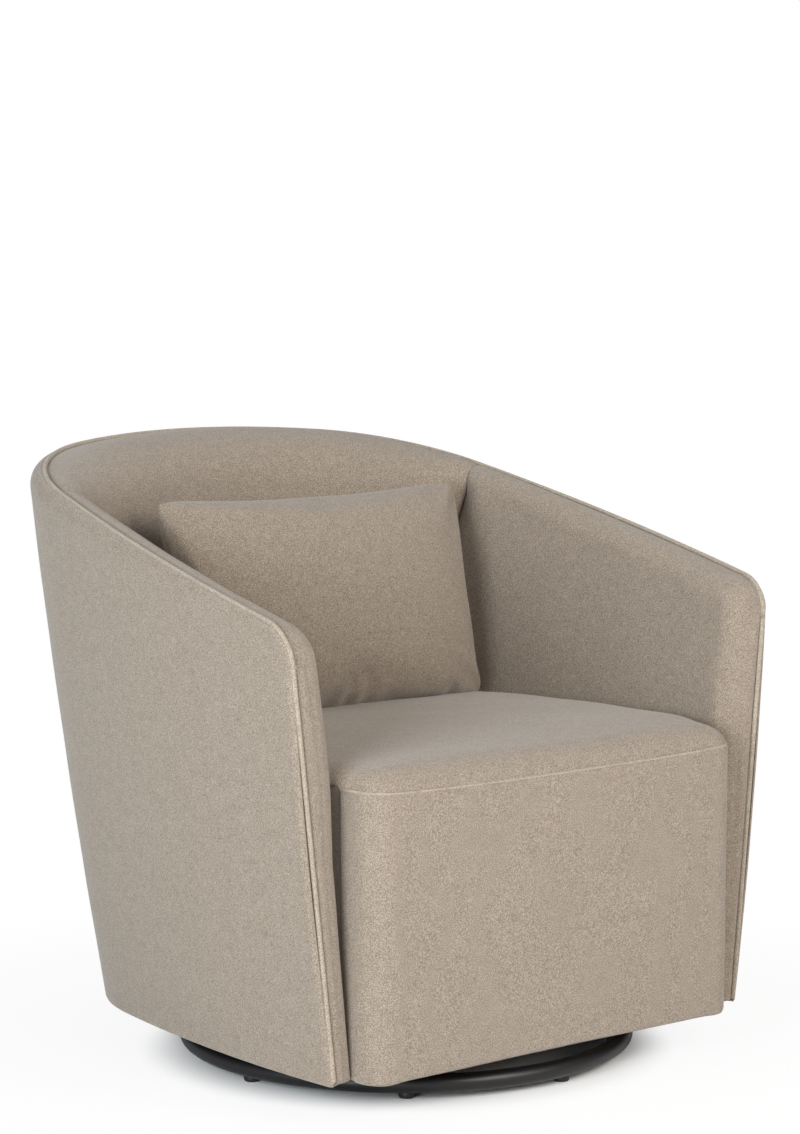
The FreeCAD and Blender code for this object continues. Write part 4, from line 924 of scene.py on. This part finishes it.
# The sheets' points after a cloth simulation with pressure inside
def inflate(points, faces, frames):
    mesh = bpy.data.meshes.new("pillowCloth")
    mesh.from_pydata(points.tolist(), [], faces.tolist())
    helper = bpy.data.objects.new("pillowCloth", mesh)
    bpy.context.scene.collection.objects.link(helper)
    cloth = helper.modifiers.new("filling", "CLOTH")
    for key, value in pillowCloth.items():
        setattr(cloth.settings, key, value)
    cloth.settings.effector_weights.gravity = 0
    cloth.collision_settings.use_collision = False
    cloth.point_cache.frame_start = 1
    cloth.point_cache.frame_end = frames
    for number in range(1, frames + 1):
        bpy.context.scene.frame_set(number)
    shaped = helper.evaluated_get(bpy.context.evaluated_depsgraph_get()).to_mesh()
    flat = np.zeros(len(shaped.vertices) * 3)
    shaped.vertices.foreach_get("co", flat)
    helper.modifiers.remove(cloth)
    bpy.context.scene.frame_set(1)
    bpy.data.objects.remove(helper)
    return flat.reshape(-1, 3)


# Pillow: two sheets, filled, brought back to its size, leant back and set on the seat
def buildPillow():
    p = pillowShape
    points, faces = sewSheets(*pillowSheets(p["thick"] * p["startShare"]))
    moved = inflate(points, faces, p["frames"]) - points
    far = np.linalg.norm(moved, axis=1)[:, None] + 1e-9
    points = points + moved * p["mostMoved"] * np.tanh(far / p["mostMoved"]) / far
    low, high = points.min(0), points.max(0)
    print("pillow after filling", np.round(high - low, 3))
    points -= (low + high) / 2
    points *= np.array([p["width"], p["thick"], p["height"]]) / (high - low)
    lean = np.radians(p["lean"])
    y = points[:, 1] * np.cos(lean) + points[:, 2] * np.sin(lean)
    z = points[:, 2] * np.cos(lean) - points[:, 1] * np.sin(lean)
    placed = np.column_stack([points[:, 0], y, z]) + p["centre"]
    piece = addPiece("lumbarPillow", placed, faces, "pillow", ["lumbar_pillow"])
    finer = piece.modifiers.new("finer", "SUBSURF")
    finer.levels = finer.render_levels = 1
    return piece


# Base
ringShape = {"radius": 0.2704, "tube": 0.011, "height": 0.019, "around": 256, "sides": 32}
glideShape = {
    "count": 8,
    "radius": 0.260,          # of the circle they stand on
    "turn": 5.0,              # degrees to the first one
    "sides": 28,
    # radius and height, from the foot up
    "profile": ((0.0001, 0.0), (0.0078, 0.0), (0.0088, 0.0004), (0.0097, 0.0013), (0.0100, 0.0024),
                (0.0100, 0.0100), (0.0092, 0.0112), (0.0001, 0.0113)),
}


# Ring: a circle of tube radius carried round a circle of ring radius
def buildRing():
    ring = ringShape
    way = np.linspace(0, 2 * np.pi, ring["around"], endpoint=False)[:, None]
    turn = np.linspace(0, 2 * np.pi, ring["sides"], endpoint=False)[None, :]
    radius = ring["radius"] + ring["tube"] * np.cos(turn)
    z = ring["height"] + ring["tube"] * np.sin(turn) + 0 * way
    points = np.stack([radius * np.cos(way), radius * np.sin(way), z], -1)
    return addPiece("baseRing", points, gridFaces(*z.shape, True, True), "base", ["base_ring"])


# Glides: one turned profile with a chamfered foot, set round the ring at even angles
def buildGlides():
    glide = glideShape
    turn = np.linspace(0, 2 * np.pi, glide["sides"], endpoint=False)
    out, up = np.array(glide["profile"]).T[:, :, None]
    one = np.stack([out * np.cos(turn), out * np.sin(turn), up + 0 * turn], -1)
    number = np.arange(glide["count"])[:, None, None]
    spot = outward(np.radians(glide["turn"] + 360 / glide["count"] * number)) * glide["radius"]
    points = one + np.concatenate([spot, np.zeros_like(spot[..., :1])], -1)
    faces = gridFaces(*one.shape[:2], roundColumns=True, flip=True) + number * (out.size * turn.size)
    return addPiece("footGlides", points, faces.reshape(-1, 4), "base", ["foot_glides"])


# Materials

# One sRGB hex value as linear colour
def hexColour(text):
    part = np.array([int(text[i:i + 2], 16) for i in (1, 3, 5)]) / 255
    linear = np.where(part <= 0.04045, part / 12.92, ((part + 0.055) / 1.055) ** 2.4)
    return (*linear.tolist(), 1.0)


# Adds a node, gives its sockets and properties their values, and links the sockets named in links
def addNode(tree, kind, links=None, props=None, **values):
    node = tree.nodes.new(kind)
    for key, value in (props or {}).items():
        setattr(node, key, value)
    for key, value in values.items():
        node.inputs[key.replace("_", " ")].default_value = value
    for key, source in (links or {}).items():
        tree.links.new(source, node.inputs[key])
    return node


# A material, its tree and shader with these values, and the object coordinates that patterns read
def newMaterial(name, roughness, **values):
    material = bpy.data.materials.new(name)
    material.use_nodes = True
    tree = material.node_tree
    shader = tree.nodes["Principled BSDF"]
    shader.inputs["Roughness"].default_value = roughness
    for key, value in values.items():
        shader.inputs[key.replace("_", " ")].default_value = value
    place = addNode(tree, "ShaderNodeTexCoord").outputs["Object"]
    return material, tree, shader, place


# Colours set at their places between 0 and 1, and mixed in between
def ramp(tree, source, stops):
    node = addNode(tree, "ShaderNodeValToRGB", {"Fac": source})
    while len(node.color_ramp.elements) < len(stops):
        node.color_ramp.elements.new(0.5)
    for element, (at, colour) in zip(node.color_ramp.elements, stops):
        element.position = at
        element.color = hexColour(colour)
    return node.outputs["Color"]


# Relief of a pattern: strength is a share, distance in metres
def roughen(tree, shader, source, strength, distance):
    bump = addNode(tree, "ShaderNodeBump", {"Height": source}, Strength=strength, Distance=distance)
    tree.links.new(bump.outputs["Normal"], shader.inputs["Normal"])


feltLook = {
    "bundle": 0.0014,         # real bundles are finer, and these are as coarse as they need to show
    "cloud": 0.012,
    "cloudShare": 0.6,
    "roughness": 0.95,
    "specular": 0.15,
    "sheen": 0.25,
    "sheenRoughness": 0.6,
    "relief": 0.0012,
    "reliefShare": 0.30,
    "tones": {"dark": "#7F7467", "middle": "#908375", "light": "#A4978A", "deep": "#6C6155"},
    "weltBundle": 0.0013,
    "weltTones": {"dark": "#8F8375", "middle": "#A49889", "light": "#B6AB9E", "deep": "#7B6F62"},
    "foamTones": {"dark": "#E2DAC6", "middle": "#E9E2CF", "light": "#F0EADB", "deep": "#D6CDB8"},
}


# Felted wool blend, brushed: short fibres in near tones, so it looks softly mottled and takes light
# without a shine. Fibre bundles are drawn about 1.4 mm wide, cloudier patches about 12 mm.
def feltMaterial(name, tones, bundle=feltLook["bundle"]):
    look = feltLook
    material, tree, shader, place = newMaterial(name, look["roughness"], Sheen_Weight=look["sheen"],
                                                Sheen_Roughness=look["sheenRoughness"],
                                                Specular_IOR_Level=look["specular"])
    fibres = addNode(tree, "ShaderNodeTexNoise", {"Vector": place}, Scale=1 / bundle, Detail=3.0,
                     Roughness=0.65)
    clouds = addNode(tree, "ShaderNodeTexNoise", {"Vector": place}, Scale=1 / look["cloud"], Detail=2.0)
    fine = ramp(tree, fibres.outputs["Fac"], [(0.33, tones["deep"]), (0.45, tones["dark"]),
                                              (0.52, tones["middle"]), (0.64, tones["light"])])
    patch = ramp(tree, clouds.outputs["Fac"], [(0.35, "#F0EEEC"), (0.65, "#FFFFFF")])
    mix = addNode(tree, "ShaderNodeMix", {6: fine, 7: patch}, {"data_type": "RGBA", "blend_type": "MULTIPLY"},
                  Factor=look["cloudShare"])
    tree.links.new(mix.outputs[2], shader.inputs["Base Color"])
    roughen(tree, shader, fibres.outputs["Fac"], look["reliefShare"], look["relief"])
    return material


# Powder coat: satin black with a faint orange peel of about 2 mm
powderLook = {"colour": "#0F0E10", "roughness": 0.42, "grain": 0.002, "relief": 0.0004, "reliefShare": 0.06}
# Moulded polythene and nylon: even colour with a fine grain of half a millimetre
glideLook = {"colour": "#141415", "roughness": 0.45, "grain": 0.0005, "relief": 0.0002, "reliefShare": 0.1}
cageLook = {"colour": "#D6D1C4", "roughness": 0.4, "grain": 0.0005, "relief": 0.0002, "reliefShare": 0.1}


# One even colour with a relief of fine noise
def evenFinish(name, look):
    material, tree, shader, place = newMaterial(name, look["roughness"], Base_Color=hexColour(look["colour"]))
    grain = addNode(tree, "ShaderNodeTexNoise", {"Vector": place}, Scale=1 / look["grain"], Detail=1.0)
    roughen(tree, shader, grain.outputs["Fac"], look["reliefShare"], look["relief"])
    return material


zincLook = {"roughness": 0.38, "patch": 0.00625, "tones": [(0.35, "#8E9092"), (0.65, "#A9AAA8")]}


# Zinc plated steel: bright grey with uneven passivation in patches of about 6 mm
def zincSteel():
    material, tree, shader, place = newMaterial("zincPlatedSteel", zincLook["roughness"], Metallic=1.0)
    patches = addNode(tree, "ShaderNodeTexNoise", {"Vector": place}, Scale=1 / zincLook["patch"], Detail=3.0)
    tree.links.new(ramp(tree, patches.outputs["Fac"], zincLook["tones"]), shader.inputs["Base Color"])
    return material


# All woods, and each one's tones and the spacing of its grain bands in metres
woodLook = {"roughness": 0.7, "stretch": (1.0, 1.0, 0.12), "waver": 0.6, "darkAt": 0.35, "lightAt": 0.6}
birchPlywood = {"light": "#D0B084", "dark": "#B8946A", "spacing": 0.006}
sawnHardwood = {"light": "#C4A272", "dark": "#A98557", "spacing": 0.009}
hardFibreboard = {"light": "#94785A", "dark": "#84694D", "spacing": 0.002}


# Sawn hardwood, rotary cut plywood or pressed fibre: soft bands of grain, eight times as long as wide
def bareWood(name, wood):
    material, tree, shader, place = newMaterial(name, woodLook["roughness"])
    longer = addNode(tree, "ShaderNodeMapping", {"Vector": place}, Scale=woodLook["stretch"])
    grain = addNode(tree, "ShaderNodeTexNoise", {"Vector": longer.outputs["Vector"]},
                    Scale=1 / wood["spacing"], Detail=4.0, Distortion=woodLook["waver"])
    stops = [(woodLook["darkAt"], wood["dark"]), (woodLook["lightAt"], wood["light"])]
    tree.links.new(ramp(tree, grain.outputs["Fac"], stops), shader.inputs["Base Color"])
    return material


# All woven cloths, and each one's tones and the spacing of its threads in metres. A wave texture's
# bands repeat after about 0.318 over its scale.
clothLook = {"roughness": 0.9, "bandPeriod": 0.318, "darkAt": 0.1, "lightAt": 0.7}
elasticWebbing = {"light": "#3A3835", "dark": "#1F1E1D", "thread": 0.002}
spunDustCloth = {"light": "#1E1E20", "dark": "#111112", "thread": 0.0012}


# Plain woven cloth: crossing threads drawn as two sets of bands, one times the other
def wovenCloth(name, cloth):
    material, tree, shader, place = newMaterial(name, clothLook["roughness"])
    scale = clothLook["bandPeriod"] / cloth["thread"]
    bands = [addNode(tree, "ShaderNodeTexWave", {"Vector": place}, {"bands_direction": axis}, Scale=scale)
             for axis in ("X", "Y")]
    both = addNode(tree, "ShaderNodeMath", {k: band.outputs["Fac"] for k, band in enumerate(bands)},
                   {"operation": "MULTIPLY"})
    stops = [(clothLook["darkAt"], cloth["dark"]), (clothLook["lightAt"], cloth["light"])]
    tree.links.new(ramp(tree, both.outputs[0], stops), shader.inputs["Base Color"])
    return material


# Every finish by its slot
def makeMaterials():
    return {
        "cover_fabric": feltMaterial("feltedWoolBlend", feltLook["tones"]),
        "welt_fabric": feltMaterial("feltedWoolWelt", feltLook["weltTones"], feltLook["weltBundle"]),
        "ring_paint": evenFinish("powderCoatedSteel", powderLook),
        "glide_plastic": evenFinish("mouldedGlide", glideLook),
        "cage_plastic": evenFinish("nylonCage", cageLook),
        "bearing_steel": zincSteel(),
        "frame_plywood": bareWood("birchPlywood", birchPlywood),
        "frame_wood": bareWood("sawnHardwood", sawnHardwood),
        "fibreboard": bareWood("hardFibreboard", hardFibreboard),
        "webbing": wovenCloth("elasticWebbing", elasticWebbing),
        "dust_cloth": wovenCloth("spunDustCloth", spunDustCloth),
        "seat_foam": feltMaterial("foamAndWadding", feltLook["foamTones"]),
    }


# Stage
stage = {
    "floorHalf": 30.0,
    "floorLevel": -0.0002,
    "floorColour": "#FAFAFA",
    "floorRoughness": 0.95,
    # to the camera the floor turns white round the ring and further out: from, to, share of white
    "fadeCentre": (0, -0.0885, 0),
    "fades": ((0.25, 0.34, 0.90), (0.40, 1.00, 0.10)),
    "worldStrength": 0.23,
    "aim": (0, 0, 0.4),
    "lamps": {
        "key": {"spot": (-3.6, -1.6, 1.2), "size": 2.0, "power": 156, "colour": (0.91, 0.97, 1.0)},
        "fill": {"spot": (0.3, -3.4, 2.1), "size": 2.2, "power": 103, "colour": (1.0, 0.955, 0.90)},
        "top": {"spot": (0.2, 0.5, 3.3), "size": 1.6, "power": 14, "colour": (1.0, 1.0, 1.0)},
    },
}


# Floor: pale, with the chair's soft shadow, and to the camera it fades into the white behind it
def addFloor():
    half, level = stage["floorHalf"], stage["floorLevel"]
    corners = [(x * half, y * half, level) for x, y in ((-1, -1), (1, -1), (1, 1), (-1, 1))]
    mesh = bpy.data.meshes.new("floor")
    mesh.from_pydata(corners, [], [(0, 1, 2, 3)])
    floor = bpy.data.objects.new("floor", mesh)
    bpy.context.scene.collection.objects.link(floor)
    material, tree, shader, place = newMaterial("paleFloor", stage["floorRoughness"],
                                                Base_Color=hexColour(stage["floorColour"]))
    mesh.materials.append(material)
    away = addNode(tree, "ShaderNodeVectorMath", {0: place}, {"operation": "DISTANCE"})
    away.inputs[1].default_value = stage["fadeCentre"]
    fades = [addNode(tree, "ShaderNodeMapRange", {"Value": away.outputs["Value"]},
                     {"interpolation_type": "SMOOTHSTEP"}, From_Min=near, From_Max=far,
                     To_Max=share).outputs["Result"] for near, far, share in stage["fades"]]
    fade = addNode(tree, "ShaderNodeMath", dict(enumerate(fades)))
    seen = addNode(tree, "ShaderNodeLightPath").outputs["Is Camera Ray"]
    both = addNode(tree, "ShaderNodeMath", {0: fade.outputs[0], 1: seen}, {"operation": "MULTIPLY"})
    plain = addNode(tree, "ShaderNodeEmission", Strength=1.0)
    blend = addNode(tree, "ShaderNodeMixShader",
                    {0: both.outputs[0], 1: shader.outputs[0], 2: plain.outputs[0]})
    tree.links.new(blend.outputs[0], tree.nodes["Material Output"].inputs[0])


# World: soft even light, seen by the camera as plain white
def addWorld():
    world = bpy.data.worlds.new("studio")
    bpy.context.scene.world = world
    world.use_nodes = True
    tree = world.node_tree
    soft, white = tree.nodes["Background"], addNode(tree, "ShaderNodeBackground")
    for shader, strength in ((soft, stage["worldStrength"]), (white, 1.0)):
        shader.inputs["Color"].default_value = (1, 1, 1, 1)
        shader.inputs["Strength"].default_value = strength
    seen = addNode(tree, "ShaderNodeLightPath").outputs["Is Camera Ray"]
    mix = addNode(tree, "ShaderNodeMixShader", {0: seen, 1: soft.outputs[0], 2: white.outputs[0]})
    tree.links.new(mix.outputs[0], tree.nodes["World Output"].inputs[0])


# Lamps: round soft boxes turned to the middle of the chair
def addLamps():
    for name, one in stage["lamps"].items():
        lamp = bpy.data.lights.new(name, "AREA")
        lamp.shape = "DISK"
        lamp.size = one["size"]
        lamp.energy = one["power"]
        lamp.color = one["colour"]
        holder = bpy.data.objects.new(name, lamp)
        holder.location = one["spot"]
        aim = Vector(stage["aim"]) - Vector(one["spot"])
        holder.rotation_euler = aim.to_track_quat("-Z", "Y").to_euler()
        bpy.context.scene.collection.objects.link(holder)


# Build
finishes = makeMaterials()
slots = {part["node"]: part["material_slot"] for part in frame["record"]["subparts"]}
for name, node in frame["nodes"].items():
    node.data.materials.clear()
    node.data.materials.append(finishes[slots[name]])
print("CAD nodes finished")


# Gives a piece the finish of a slot
def finishPiece(piece, slot):
    piece.data.materials.append(finishes[slot])


finishPiece(buildOuterCover(), "cover_fabric")
finishPiece(buildWelt(), "welt_fabric")
print("outer cover and welt made")
finishPiece(buildArm(1, "inside_arm_left"), "cover_fabric")
finishPiece(buildArm(-1, "inside_arm_right"), "cover_fabric")
finishPiece(buildBack(), "cover_fabric")
print("inside pads made")
finishPiece(buildPanel(), "cover_fabric")
finishPiece(buildSeat(), "cover_fabric")
finishPiece(buildSeatSeam(), "welt_fabric")
shadedLining = buildShadedLining()
# the lining's darker felt is painted shade of the crevice
shadedLining.data.materials.append(feltMaterial("tuckedWoolPaintedShade", shadedLiningShape["tones"]))
print("seat and front panel made")
finishPiece(buildPillow(), "cover_fabric")
print("pillow made")
finishPiece(buildRing(), "ring_paint")
finishPiece(buildGlides(), "glide_plastic")
print("base made")
addFloor()
addWorld()
addLamps()
print("stage set")

bpy.context.scene.view_settings.view_transform = "Standard"
